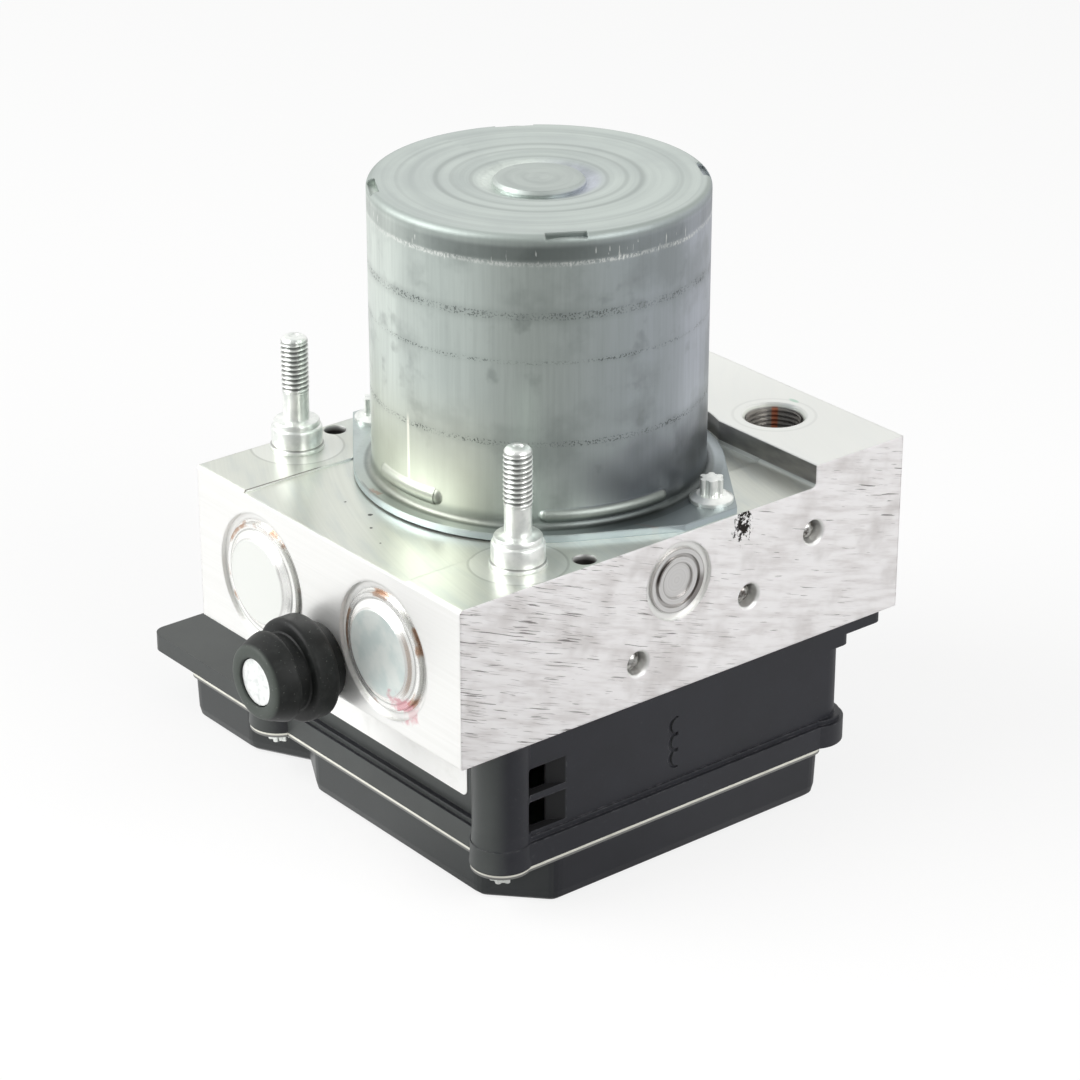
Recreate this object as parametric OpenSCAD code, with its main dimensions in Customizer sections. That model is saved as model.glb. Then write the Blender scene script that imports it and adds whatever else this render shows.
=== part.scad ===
// ABS brake module: an electric motor drives two pump pistons in a drilled valve block,
// and the control unit under the block holds the coils that work its eight valves.
// Units are millimetres. +Z is the motor's axis, +X the long sawn side of the block, and -Y its face
// with the two reservoir caps. The origin is under the motor's axis, at the level of the cover's floor.

/* [Valve block] */
// Width of the block, along X
block_w = 87; // [85:0.5:92]
// Reach of the block in front of the motor's axis, along -Y
block_front = 54; // [53:0.5:58]
// Reach of the block behind the motor's axis
block_back = 60; // [58:0.5:64]
// Height of the block
block_h = 33.6; // [33:0.2:36]
// Height of the port rail above the block's top
rail_h = 4.7; // [3:0.1:6]
// Distance from the motor's axis to the front wall of the rail
rail_y = 36; // [34:0.5:38]
// Radius at the foot of the rail's front wall
rail_fillet_r = 1; // [0.5:0.1:2]
// Gap between the motor's flange and the scallop that is cut in the rail
scallop_gap = 1.1; // [0.6:0.1:1.6]
// Depth of the milled pocket in the top
pocket_depth = 0.4; // [0.2:0.1:0.8]
// Width of the milled pocket
pocket_w = 53.3; // [48:0.5:56]
// Chamfer along the top edges of the block
block_chamfer = 0.5; // [0.2:0.1:0.8]

/* [Ports and holes] */
// Distance between the two inlet ports on the rail
port_pitch = 37.8; // [36:0.2:42]
// Distance of the inlet ports behind the motor's axis
port_y = 47; // [45:0.5:49]
// Outer radius of the thread in an inlet port
port_r = 6; // [5.5:0.1:6.4]
// Depth of the inlet port bore
port_depth = 14; // [12:0.5:15]
// Radius of the chamfer at the mouth of an inlet port
port_mouth_r = 6.8; // [6.4:0.1:7.4]
// Outer radius of the thread in the four wheel ports of the back face
wheel_port_r = 5; // [4.5:0.1:5.5]
// Depth of the wheel ports
wheel_port_depth = 12; // [10:0.5:13]
// Height of the wheel ports above the block's bottom
wheel_port_z = 12; // [10:0.5:14]
// Radius of the locating holes in the block's top
locating_r = 2.35; // [2:0.05:2.8]
// Depth of the locating holes
locating_depth = 8; // [5:0.5:10]
// Distance of the locating holes from the side faces
locating_inset = 2.9; // [2.9:0.1:4]
// Distance of the locating holes in front of the motor's axis
locating_y = 21.6; // [20:0.2:24]
// Radius of the steel balls that close the cross drillings
ball_r = 2.5; // [2.2:0.1:2.7]
// Radius of the cross drillings
drilling_r = 1.6; // [1.2:0.1:2]

/* [Motor] */
// Outer radius of the motor's can
can_r = 33.9; // [32:0.1:34.5]
// Height of the can above the block's top
can_h = 61.4; // [60:0.2:66]
// Sheet thickness of the can
can_t = 2; // [1.6:0.1:2.2]
// Rounding of the can's upper edge
can_round = 1.5; // [1:0.1:2]
// Width of the can's mounting flange
flange_w = 3.7; // [2.8:0.1:4.1]
// Thickness of the mounting flange
flange_t = 1.5; // [1:0.1:2]
// Radius of the bearing boss in the middle of the can's end
boss_r = 9.3; // [9:0.1:10]
// Depth of the groove round the bearing boss
boss_groove_depth = 1.2; // [0.8:0.1:1.4]
// Distance of the flange's screws from the can's wall
ear_screw_gap = 5.8; // [5.4:0.1:6.1]
// Width of the sloping ring round the bearing boss
dish_w = 6.6; // [4:0.2:9]
// Width of the four notches that are pressed in the can's rim
notch_w = 8; // [6:0.2:9]
// Depth of the notches
notch_depth = 1.3; // [0.8:0.1:1.6]
// Distance of the flange's right screw from +X, as an angle
ear_screw_angle = 19.9; // [18:0.5:22]
// Width of the air gap round the armature
air_gap = 0.8; // [0.5:0.1:1.2]
// Thickness of the magnets
magnet_t = 6.5; // [6:0.1:7.5]
// Gap between the armature's end turns and the seat of the upper bearing
end_gap = 0.6; // [0.4:0.1:2]
// Number of slots in the armature
slot_count = 12; // [8:1:14]
// Radius of each winding slot
slot_r = 2.9; // [2.2:0.1:3]
// Radius of the commutator
commutator_r = 9; // [8:0.1:10]
// Length of the commutator
commutator_len = 11; // [10:0.5:12]
// Radius of the motor's shaft
shaft_r = 4; // [3.6:0.1:4.4]

/* [Pump] */
// Depth of the pump's axis below the block's top
pump_depth = 10; // [9.6:0.1:10.6]
// Offset of the eccentric from the motor's axis
eccentricity = 0.9; // [0.5:0.1:1.2]
// Radius of the eccentric
eccentric_r = 5; // [4.8:0.1:5.4]
// Outer radius of the bearing on the eccentric
eccentric_bearing_r = 8.5; // [8:0.1:9]
// Radius of the pump cavity
cavity_r = 12; // [11.8:0.1:12.6]
// Depth of the pump cavity
cavity_depth = 17.5; // [16.5:0.1:17.8]
// Radius of a pump piston
piston_r = 4; // [3.5:0.1:4.5]
// Length of a pump piston
piston_len = 19; // [17:0.5:20]
// Radius of a pump plug
plug_r = 6.8; // [6.4:0.1:7.2]
// Length of a pump plug
plug_len = 8; // [7:0.2:9]

/* [Reservoirs] */
// Distance between the two reservoir caps
cap_pitch = 40.6; // [40:0.2:42]
// Offset of the pair of caps from the motor's axis, along X
cap_mid = -1.4; // [-1.6:0.1:-1]
// Height of the reservoirs' axes above the block's bottom
reservoir_z = 15.7; // [15:0.1:16.5]
// Radius of a reservoir's bore
reservoir_r = 12; // [11:0.1:12.2]
// Depth of a reservoir's bore
reservoir_depth = 24; // [22:0.5:26]
// Travel of a reservoir's piston
reservoir_travel = 6; // [4:0.5:7]
// Radius of the recess round a cap
cap_recess_r = 14.05; // [13.8:0.05:14.4]
// Radius of the flat disc in the middle of a cap
cap_disc_r = 8.7; // [8:0.1:9.2]
// Height of the disc above the block's face
cap_proud = 1.2; // [0.8:0.1:1.6]

/* [Valves and coils] */
// Distance between neighbouring valves
valve_pitch = 20; // [19.6:0.1:20.4]
// Distance of the first row of valves behind the motor's axis
valve_row_y = 12; // [11:0.2:12.4]
// Radius of a valve's body in the block
valve_r = 6; // [5.4:0.1:6.2]
// Depth of a valve's body in the block
valve_depth = 12; // [11:0.2:13]
// Outer radius of a valve's dome
dome_r = 4.4; // [4:0.1:4.8]
// Length of a valve's dome below the block
dome_len = 19; // [18:0.2:20]
// Travel of a valve's armature
valve_travel = 0.35; // [0.2:0.05:0.5]
// Outer radius of a coil's case
coil_r = 9; // [8.6:0.05:9.4]

/* [Studs and rubber mount] */
// Distance between the two mounting studs
stud_pitch = 72.6; // [72:0.2:74]
// Offset of the pair of studs from the motor's axis, along X
stud_mid = -2.3; // [-2.6:0.1:-2]
// Distance of the studs in front of the motor's axis
stud_y = 32.6; // [32:0.2:34]
// Radius of a stud's thread
stud_r = 2.92; // [2.5:0.01:3.4]
// Radius of a stud's collar
stud_collar_r = 5.25; // [4.6:0.05:5.8]
// Height of a stud's collar
stud_collar_h = 6.2; // [5:0.1:8]
// Height of a stud above the block's top
stud_h = 24.4; // [22:0.2:28]
// Offset of the rubber mount's axis along X
mount_x = -1.1; // [-1.4:0.1:-0.8]
// Height of the rubber mount's axis above the block's bottom
mount_z = 6.2; // [5.8:0.1:7]
// Radius of the rubber mount's barrel
mount_r = 10.7; // [10:0.1:11.4]
// Reach of the rubber mount in front of the block
mount_len = 16.6; // [16:0.1:20]
// Distance of the mount's barrel from the block
mount_neck = 3.2; // [2.4:0.1:4]
// Length of the mount's barrel
mount_barrel = 5.2; // [4:0.1:6]
// Width of the groove between barrel and cone
mount_groove = 2.9; // [2:0.1:4]
// Radius of the mount's pin
mount_pin_r = 4.8; // [4:0.1:5]

/* [Control unit] */
// Height of the lower cover
cover_h = 10; // [9:0.2:12]
// Wall of the lower cover
cover_t = 2; // [1.6:0.1:2.4]
// Thickness of the base plate
plate_t = 1; // [0.8:0.1:1.6]
// Height of the housing, from the base plate to the block
housing_h = 27; // [26.6:0.1:30]
// Wall of the housing
housing_t = 2.2; // [1.8:0.1:2.6]
// Height of the housing's rim
rim_h = 6; // [5:0.1:7]
// Reach of the unit to the right of the motor's axis
unit_right = 43.5; // [43:0.1:46]
// Reach of the unit in front of the motor's axis
unit_front = 42; // [41:0.1:43]
// Reach of the base plate and cover behind the motor's axis
unit_back = 41.4; // [40.6:0.1:43]
// Reach of the base plate and cover to the left of the motor's axis
unit_left = 69.5; // [68:0.5:74]
// Reach of the connector shelf to the left of the motor's axis
shelf_left = 83.5; // [81:0.5:88]
// Height of the connector shelf
shelf_h = 4; // [3.6:0.1:5]
// Step from the rim in to the housing's wall
wall_step = 1.2; // [0.8:0.1:1.6]
// Thickness of the deck under the block
deck_t = 3.2; // [2.8:0.1:3.6]
// Reach of the deck behind the motor's axis
deck_back = 57.6; // [54:0.2:58]
// Radius of the two screw columns in front
column_r = 5.8; // [5.2:0.1:6]
// Distance of the screw columns from the motor's axis along X
column_x = 37.8; // [37:0.1:38]
// Distance of the front screw columns in front of the motor's axis
column_y = 40; // [39:0.1:41]
// Distance of the back screw columns behind the motor's axis
back_column_y = 42.8; // [42.4:0.1:43.4]
// Radius of the unit's screws
unit_screw_r = 2.5; // [2:0.1:2.6]

/* [Connector] */
// Width of the connector's shroud
shroud_w = 31; // [28:0.5:32]
// Length of the connector's shroud
shroud_len = 54; // [50:0.5:58]
// Height of the connector's shroud above its shelf
shroud_h = 27; // [24:0.5:30]
// Number of signal pins in each row
pin_count = 11; // [8:1:12]
// Distance between neighbouring signal pins
pin_pitch = 2.6; // [2.4:0.05:2.8]

/* [Hidden] */
$fn = 64;

// Radial clearance of what is pressed or screwed in
fit = 0.02;
// Radial clearance of what turns or slides
running = 0.05;
// Overlap of a cutter past the face that it opens
cut = 1;

// Levels
plate_z = cover_h;
housing_z = plate_z + plate_t;
block_z = housing_z + housing_h;
top_z = block_z + block_h;
pump_z = top_z - pump_depth;
rail_z = top_z + rail_h;
can_top = top_z + can_h;

// Sizes that follow the can's
flange_r = can_r + flange_w;
ear_screw_r = can_r + ear_screw_gap;
ear_edge = 5.77;
ear_x = ear_screw_r * cos(ear_screw_angle) + ear_edge;
armature_r = can_r - can_t - magnet_t - air_gap;

// Places across the block
side_x = block_w / 2;
stud_xs = [stud_mid + stud_pitch / 2, stud_mid - stud_pitch / 2];
cap_xs = [cap_mid + cap_pitch / 2, cap_mid - cap_pitch / 2];
cap_z = block_z + reservoir_z;
valve_xs = [for (i = [-1.5:1:1.5]) i * valve_pitch];
inlet_y = valve_row_y + valve_pitch;
outlet_y = valve_row_y;

// A box from its limits on each axis
module box(x, y, z) {
    translate([x[0], y[0], z[0]]) cube([x[1] - x[0], y[1] - y[0], z[1] - z[0]]);
}

// A flat rectangle with round corners
module rounded(x, y, r) {
    translate([x[0] + r, y[0]]) square([x[1] - x[0] - 2 * r, y[1] - y[0]]);
    translate([x[0], y[0] + r]) square([x[1] - x[0], y[1] - y[0] - 2 * r]);
    for (cx = [x[0] + r, x[1] - r], cy = [y[0] + r, y[1] - r]) translate([cx, cy]) circle(r);
}

// What follows is turned so that its +Z points out of the right side face, or out of the left one
module facing_side(side) {
    translate([side * side_x, 0, pump_z]) rotate([0, side * 90, 0]) children();
}

// What follows is turned so that its +Z points out of the front face
module facing_front(x, z) {
    translate([x, -block_front, z]) rotate([90, 0, 0]) children();
}

// A coil spring that stands on the origin, as a wire of square section along a helix
module coil_spring(r, wire, length, turns, steps = 10, sides = 5) {
    n = ceil(turns * steps);
    ring = function(i) [for (j = [0:sides - 1])
        let (a = 360 * turns * i / n, b = 360 * j / sides, z = wire + (length - 2 * wire) * i / n)
        [(r + wire * cos(b)) * cos(a), (r + wire * cos(b)) * sin(a), z + wire * sin(b)]];
    sides_faces = [for (i = [0:n - 1], j = [0:sides - 1])
        let (a = i * sides + j, b = i * sides + (j + 1) % sides)
        each [[a, a + sides, b], [b, a + sides, b + sides]]];
    start = [for (j = [0:sides - 1]) j];
    end = [for (j = [sides - 1:-1:0]) n * sides + j];
    polyhedron([for (i = [0:n]) each ring(i)], concat(sides_faces, [start, end]), convexity = 8);
}

// A six-lobed screw head of a given radius, standing on the origin
module lobed_head(r, h) {
    lobe = r * 0.26;
    linear_extrude(h) {
        circle(r - lobe);
        for (i = [0:5]) rotate(i * 60) translate([r - lobe, 0]) circle(lobe);
    }
}

// Milled aluminium block with every bore, port and drilling that is worked into it
module valve_block() {
    color("gainsboro") difference() {
        block_body();
        motor_bores();
        front_bores();
        valve_bores();
        port_bores();
        for (side = [-1, 1]) pump_bore(side);
    }
}

module block_body() {
    difference() {
        box([-side_x, side_x], [-block_front, block_back], [block_z, rail_z]);
        difference() {
            box([-side_x - cut, side_x + cut], [-block_front - cut, rail_y], [top_z, rail_z + cut]);
            rail_fillet();
        }
        translate([0, 0, top_z]) cylinder(r = flange_r + scallop_gap, h = rail_h + cut);
        translate([-pocket_w / 2, 0, top_z - pocket_depth])
            box([0, pocket_w], [-block_front - cut, rail_y], [0, rail_h]);
        front_edge();
    }
}

// The cutter's radius at the foot of the rail
module rail_fillet() {
    r = rail_fillet_r;
    translate([-side_x - 2 * cut, rail_y, top_z]) rotate([90, 0, 90]) linear_extrude(block_w + 4 * cut)
        difference() {
            translate([-r, -cut]) square([r + cut, r + cut]);
            translate([-r, r]) circle(r - fit);
        }
}

// The chamfer along the top of the front face
module front_edge() {
    c = block_chamfer;
    translate([-side_x - cut, -block_front, top_z]) rotate([90, 0, 90]) linear_extrude(block_w + 2 * cut)
        polygon([[-cut, cut], [-cut, -c - cut], [0, -c], [c, 0], [c + cut, cut]]);
}

module motor_bores() {
    translate([0, 0, top_z - cavity_depth]) cylinder(r = cavity_r, h = cavity_depth + cut);
    translate([0, 0, end_seat_z]) cylinder(r = end_bearing_r + fit, h = cavity_depth);
    translate([0, -sleeve_y, block_z - cut]) cylinder(r = sleeve_r + 0.2, h = block_h + 2 * cut);
    for (a = [ear_screw_angle, ear_screw_angle + 180]) rotate(a)
        translate([ear_screw_r, 0, top_z - motor_screw_len])
            cylinder(r = motor_screw_r + fit, h = motor_screw_len + cut);
    translate([0, 0, top_z - seal_groove]) difference() {
        cylinder(r = seal_r + seal_wire, h = seal_groove + cut);
        translate([0, 0, -cut]) cylinder(r = seal_r - seal_wire, h = seal_groove + 3 * cut);
    }
}

// Reservoir bores with their stepped mouths, and the hole of the rubber mount's pin
module front_bores() {
    for (x = cap_xs) facing_front(x, cap_z) {
        translate([0, 0, -reservoir_depth]) cylinder(r = reservoir_r, h = reservoir_depth + cut);
        translate([0, 0, -cap_seat]) cylinder(r = cap_flange_r + fit, h = cap_seat + cut);
        translate([0, 0, -cap_recess]) cylinder(r = cap_recess_r, h = cap_recess + cut);
    }
    facing_front(mount_x, block_z + mount_z) translate([0, 0, -mount_thread_len - 1])
        cylinder(r = mount_thread_r + fit, h = mount_thread_len + 1 + cut);
}

module valve_bores() {
    for (x = valve_xs, y = [inlet_y, outlet_y]) translate([x, y, block_z - cut]) {
        cylinder(r = valve_r + fit, h = valve_depth + cut);
        cylinder(r = valve_nose_r + fit, h = valve_depth + valve_nose_len + cut);
    }
    for (x = [-column_x, column_x], y = [-column_y, back_column_y]) translate([x, y, block_z - cut])
        cylinder(r = unit_screw_r + fit, h = unit_screw_grip + cut);
}

// Threaded inlet ports in the rail, wheel ports in the back face, holes for studs and pins
module port_bores() {
    for (side = [-1, 1]) {
        translate([side * port_pitch / 2, port_y, rail_z - port_depth]) {
            cylinder(r = port_r, h = port_depth + cut);
            translate([0, 0, port_depth - (port_mouth_r - port_r)])
                cylinder(r1 = port_r, r2 = port_mouth_r + cut, h = port_mouth_r - port_r + cut);
        }
        translate([side * (side_x - locating_inset), -locating_y, top_z - locating_depth])
            cylinder(r = locating_r, h = locating_depth + cut);
    }
    for (x = stud_xs) translate([x, -stud_y, top_z - stud_root - 1])
        cylinder(r = stud_shank_r + fit, h = stud_root + 1 + cut);
    for (x = valve_xs) translate([x, block_back + cut, block_z + wheel_port_z]) rotate([90, 0, 0]) {
        cylinder(r = wheel_port_r, h = wheel_port_depth + cut);
        cylinder(r = drilling_r, h = block_back - inlet_y + cut);
        cylinder(r1 = wheel_port_r + 1 + cut, r2 = wheel_port_r, h = 1 + cut);
    }
    for (side = [-1, 1], place = ball_places) translate([side * side_x, place[0], block_z + place[1]])
        rotate([0, -side * 90, 0]) {
            cylinder(r = drilling_r, h = place[2]);
            translate([0, 0, -cut]) cylinder(r = ball_r + fit, h = ball_seat + cut);
            translate([0, 0, -cut]) cylinder(r1 = ball_r + 0.45 + cut, r2 = ball_r, h = 0.45 + cut);
        }
}

// A stepped pump bore, from the side face to the cavity
module pump_bore(side) {
    facing_side(side) {
        translate([0, 0, -side_x]) cylinder(r = piston_r + running, h = side_x);
        translate([0, 0, -plug_len]) cylinder(r = plug_r + fit, h = plug_len + cut);
        translate([0, 0, -plug_recess]) cylinder(r = plug_r + 1.5, h = plug_recess + cut);
    }
}

// Cross drillings of each side face: distance behind the motor's axis, height in the block, and depth
ball_depth = ball_r + 1.3;
ball_seat = ball_depth + sqrt(ball_r * ball_r - drilling_r * drilling_r) + 0.01;
ball_places = [[valve_row_y + 6.6, 14.7, 12], [-10.2, 8.7, 20], [inlet_y + 3.8, 23.7, 13]];

// Steel balls pressed into the mouths of the cross drillings
module ball_plugs() {
    color("silver") for (side = [-1, 1], place = ball_places)
        translate([side * (side_x - ball_depth), place[0], block_z + place[1]]) sphere(ball_r);
}

// Pump plugs: staked discs with turned rings, hollow inside for the piston's spring
plug_recess = 0.9;
plug_pocket = 3;
module pump_plug(side) {
    color("lightgray") facing_side(side) rotate_extrude() difference() {
        translate([0, -plug_len]) square([plug_r, plug_len - 0.3]);
        translate([0, -plug_len - cut]) square([spring_guide_r, plug_pocket + cut]);
        translate([5, -0.9]) square([0.7, cut]);
        translate([0, -0.7]) square([3.7, cut]);
    }
}
spring_guide_r = piston_r - 0.4;
module pump_plug_right() { pump_plug(1); }
module pump_plug_left() { pump_plug(-1); }

// Pump pistons: turned pins with a narrow nose, a seal groove and a cross hole for the fluid
piston_nose = 2;
piston_near = eccentric_bearing_r + 2 * eccentricity + 0.1;
piston_groove_at = 7.6;
piston_groove_w = 1.6;
piston_hole_at = 12.4;
module pump_piston(side) {
    color("silver") translate([0, 0, pump_z]) rotate([0, side * 90, 0]) difference() {
        union() {
            translate([0, 0, piston_near]) cylinder(r = piston_r * 0.65, h = piston_nose + 0.5);
            translate([0, 0, piston_near + piston_nose]) cylinder(r = piston_r, h = piston_len - piston_nose);
        }
        translate([0, 0, piston_near + piston_groove_at]) difference() {
            cylinder(r = piston_r + cut, h = piston_groove_w);
            translate([0, 0, -cut]) cylinder(r = piston_r - 0.7, h = piston_groove_w + 2 * cut);
        }
        translate([0, 0, piston_near + piston_hole_at]) {
            rotate([90, 0, 0]) cylinder(r = 0.8, h = 3 * piston_r, center = true);
            cylinder(r = 1.2, h = piston_len);
        }
    }
}
module pump_piston_right() { pump_piston(1); }
module pump_piston_left() { pump_piston(-1); }

// Return springs of the pump pistons, from the piston's end to the pocket in the plug
module pump_spring(side) {
    near = piston_near + piston_len + 0.1;
    far = side_x - plug_len + plug_pocket - 0.1;
    color("slategray") translate([0, 0, pump_z]) rotate([0, side * 90, 0])
        translate([0, 0, near]) coil_spring(spring_guide_r - 0.7, 0.4, far - near, 5);
}
module pump_spring_right() { pump_spring(1); }
module pump_spring_left() { pump_spring(-1); }

// Reservoir caps: pressed steel cups with a raised disc, seated in the stepped mouth and staked over
cap_recess = 0.9;
cap_seat = 2.4;
cap_flange_r = reservoir_r + 0.6;
cap_len = 5;
cap_inner_r = reservoir_r - 1.6;
module reservoir_cap(x) {
    color("lightsteelblue") facing_front(x, cap_z) rotate_extrude() difference() {
        union() {
            translate([0, -cap_len]) square([reservoir_r - fit, cap_len]);
            translate([0, -cap_seat]) square([cap_flange_r, cap_seat - cap_recess]);
            polygon([[0, -cap_recess], [reservoir_r - fit, -cap_recess], [reservoir_r - 1.3, 0],
                [cap_disc_r + 0.5, cap_proud - 0.3], [cap_disc_r, cap_proud], [0, cap_proud]]);
        }
        translate([0, -cap_len - cut]) square([cap_inner_r, cap_len - 1 + cut]);
        translate([reservoir_r - 1.3, 0]) square(2 * cut);
    }
}
module reservoir_cap_right() { reservoir_cap(cap_xs[0]); }
module reservoir_cap_left() { reservoir_cap(cap_xs[1]); }

// Reservoir pistons: cups with a seal groove, at the inner end of their bores while no fluid is stored
reservoir_piston_len = 7;
reservoir_piston_floor = 2.5;
module reservoir_piston(x) {
    color("dimgray") facing_front(x, cap_z) translate([0, 0, fit - reservoir_depth]) rotate_extrude()
        difference() {
            square([reservoir_r - running, reservoir_piston_len]);
            translate([0, reservoir_piston_floor]) square([reservoir_r - 2.6, reservoir_piston_len]);
            translate([reservoir_r - 1.2, 2]) square([2, 2]);
            translate([0, -cut]) square([4, 1 + cut]);
        }
}
module reservoir_piston_right() { reservoir_piston(cap_xs[0]); }
module reservoir_piston_left() { reservoir_piston(cap_xs[1]); }

// Springs that push the reservoir pistons in
module reservoir_spring(x) {
    low = -reservoir_depth + fit + reservoir_piston_floor + 0.1;
    color("slategray") facing_front(x, cap_z) translate([0, 0, low])
        coil_spring(reservoir_r - 4, 0.75, -1.1 - low, 6.5, 12, 6);
}
module reservoir_spring_right() { reservoir_spring(cap_xs[0]); }
module reservoir_spring_left() { reservoir_spring(cap_xs[1]); }

// Mounting studs: a root and a shank at the thread's pitch radius, a collar on the block's top, and a
// threaded end with a rounded tip
stud_root = 12;
stud_thread_len = 12;
stud_shank_r = stud_r - 0.25;
module mounting_studs() {
    color("silver") for (x = stud_xs) translate([x, -stud_y, top_z]) {
        translate([0, 0, -stud_root]) cylinder(r = stud_shank_r, h = stud_root + cut);
        cylinder(r = stud_collar_r + 0.3, h = 0.9);
        cylinder(r = stud_collar_r, h = stud_collar_h - 1.2);
        translate([0, 0, stud_collar_h - 1.2]) cylinder(r = stud_collar_r - 0.5, h = 1.2);
        cylinder(r = stud_shank_r, h = stud_h - stud_thread_len + cut);
        translate([0, 0, stud_h - stud_thread_len]) cylinder(r = stud_r, h = stud_thread_len - 1);
        translate([0, 0, stud_h - 1]) cylinder(r1 = stud_r, r2 = stud_r - 0.7, h = 1);
    }
}

// Steel pin that carries the rubber mount, screwed into the block's front face
mount_thread_r = 3;
mount_thread_len = 9;
module mount_pin() {
    color("whitesmoke") facing_front(mount_x, block_z + mount_z) {
        translate([0, 0, -mount_thread_len]) cylinder(r = mount_thread_r, h = mount_thread_len + cut);
        cylinder(r = mount_pin_r, h = mount_len - 0.7);
    }
}

// Rubber mount: a neck at the block, a barrel, a groove and a cone that keeps the bracket on
module rubber_mount() {
    groove_at = mount_neck + mount_barrel;
    cone_at = groove_at + mount_groove;
    cone_r = mount_r - 1.4;
    color("darkslategray") facing_front(mount_x, block_z + mount_z) rotate_extrude() difference() {
        union() {
            square([mount_r - 2.8, mount_len - 1]);
            translate([0, mount_neck]) square([mount_r - 0.4, mount_barrel]);
            translate([0, mount_neck + 0.4]) square([mount_r, mount_barrel - 0.8]);
            polygon([[0, cone_at], [cone_r - 0.2, cone_at], [cone_r, cone_at + 0.3], [cone_r, cone_at + 0.6],
                [cone_r - 1.8, mount_len - 0.5], [cone_r - 2.2, mount_len], [0, mount_len]]);
        }
        translate([0, -cut]) square([mount_pin_r + fit, mount_len + 2 * cut]);
    }
}

// Motor can: deep-drawn steel cup with a flange, two screw ears, stiffening beads and a bearing boss
hub_r = boss_r + 1.5;
upper_bearing_r = boss_r - 1.8;
upper_bearing_h = 5;
notch_t = 1.6;
module motor_can() {
    color("lightslategray") difference() {
        union() {
            translate([0, 0, top_z]) rotate_extrude() can_outside();
            for (turn = [0, 180]) rotate(turn) {
                bead(257, 284.5, 5.1, 2.1);
                bead(323, 366, 4, 1.5);
                translate([0, 0, top_z]) linear_extrude(flange_t) ear_plan();
            }
        }
        translate([0, 0, top_z]) rotate_extrude() can_inside();
        for (turn = [0, 180]) rotate(ear_screw_angle + turn)
            translate([ear_screw_r, 0, top_z - cut])
                cylinder(r = motor_screw_r + 0.25, h = flange_t + 2 * cut);
        for (turn = [60:90:330]) rotate(turn) translate([can_r - 2, -notch_w / 2, can_top - notch_depth])
            cube([notch_t, notch_w, notch_depth + cut]);
    }
}

module can_outside() {
    square([can_r - can_round, can_h]);
    square([can_r, can_h - can_round]);
    translate([can_r - can_round, can_h - can_round]) circle(can_round);
    square([flange_r, flange_t]);
    difference() {
        translate([can_r - 0.1, flange_t - 0.1]) square(1.1);
        translate([can_r + 1, flange_t + 1]) circle(1);
    }
}

module can_inside() {
    difference() {
        translate([0, -cut]) square([can_r - can_t, can_h - can_t + cut]);
        translate([0, can_h - can_t - upper_bearing_h]) square([hub_r, upper_bearing_h + cut]);
    }
    translate([0, can_h - can_t - upper_bearing_h - cut])
        square([upper_bearing_r + fit, upper_bearing_h + cut]);
    translate([boss_r, can_h]) polygon([[-0.7, cut], [-0.7, 0], [0, -0.7], [0, -boss_groove_depth],
        [0.4, -boss_groove_depth], [dish_w / 2, -0.4], [dish_w, 0], [dish_w, cut]]);
}

// A raised bead round part of the can's foot, with round ends
module bead(from, to, level, r) {
    reach = can_r + 1 - r;
    rotate(from) translate([0, 0, top_z + level]) rotate_extrude(angle = to - from)
        translate([reach, 0]) circle(r);
    for (a = [from, to]) rotate(a) translate([reach, 0, top_z + level]) sphere(r - 0.15);
}

// One ear of the flange, between two tangents of the flange's circle and the block's side
module ear_plan() {
    a = 54;
    b = -27;
    polygon([[0, 0], [flange_r * cos(a), flange_r * sin(a)], [ear_x, (flange_r - cos(a) * ear_x) / sin(a)],
        [ear_x, (flange_r - cos(b) * ear_x) / sin(b)], [flange_r * cos(b), flange_r * sin(b)]]);
}

// The two flanged screws that hold the motor
motor_screw_r = 2.5;
motor_screw_len = 12;
module motor_screws() {
    color("gray") for (turn = [0, 180]) rotate(ear_screw_angle + turn) translate([ear_screw_r, 0, top_z]) {
        translate([0, 0, 0.5 - motor_screw_len]) cylinder(r = motor_screw_r, h = motor_screw_len + flange_t);
        translate([0, 0, flange_t]) cylinder(r = 4.4, h = 0.7);
        translate([0, 0, flange_t + 0.7]) cylinder(r1 = 4.4, r2 = 3, h = 0.8);
        translate([0, 0, flange_t + 1.2]) lobed_head(2.5, 3.6);
    }
}

// Seal ring between the motor's flange and the block
seal_r = can_r - 0.2;
seal_wire = 0.7;
seal_groove = 2 * seal_wire;
module motor_seal() {
    color("black") translate([0, 0, top_z - seal_wire - 0.02]) rotate_extrude()
        translate([seal_r, 0]) circle(seal_wire - 0.04);
}

// Motor's working length: brush gear below, armature in the middle, bearing in the can's end above
plate_top = top_z + 2.6;
commutator_z = top_z + 4.4;
core_z = commutator_z + commutator_len + 4.6;
end_turns = 3.8;
core_top = can_top - can_t - upper_bearing_h - end_turns - end_gap;
armature_len = core_top - core_z;
magnet_in = armature_r + air_gap;

// Four arc magnets on the inside of the can
magnet_half = 36;
module motor_magnets() {
    reach = 2 * can_r;
    color("darkgray") intersection() {
        translate([0, 0, core_z - 2]) difference() {
            cylinder(r = can_r - can_t - fit, h = armature_len + 4);
            translate([0, 0, -cut]) cylinder(r = magnet_in, h = armature_len + 4 + 2 * cut);
        }
        for (a = [0:90:270]) rotate(a + 45) translate([0, 0, core_z - 3]) linear_extrude(armature_len + 6)
            polygon([[0, 0], [reach * cos(magnet_half), -reach * sin(magnet_half)], [reach, 0],
                [reach * cos(magnet_half), reach * sin(magnet_half)]]);
    }
}

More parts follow.
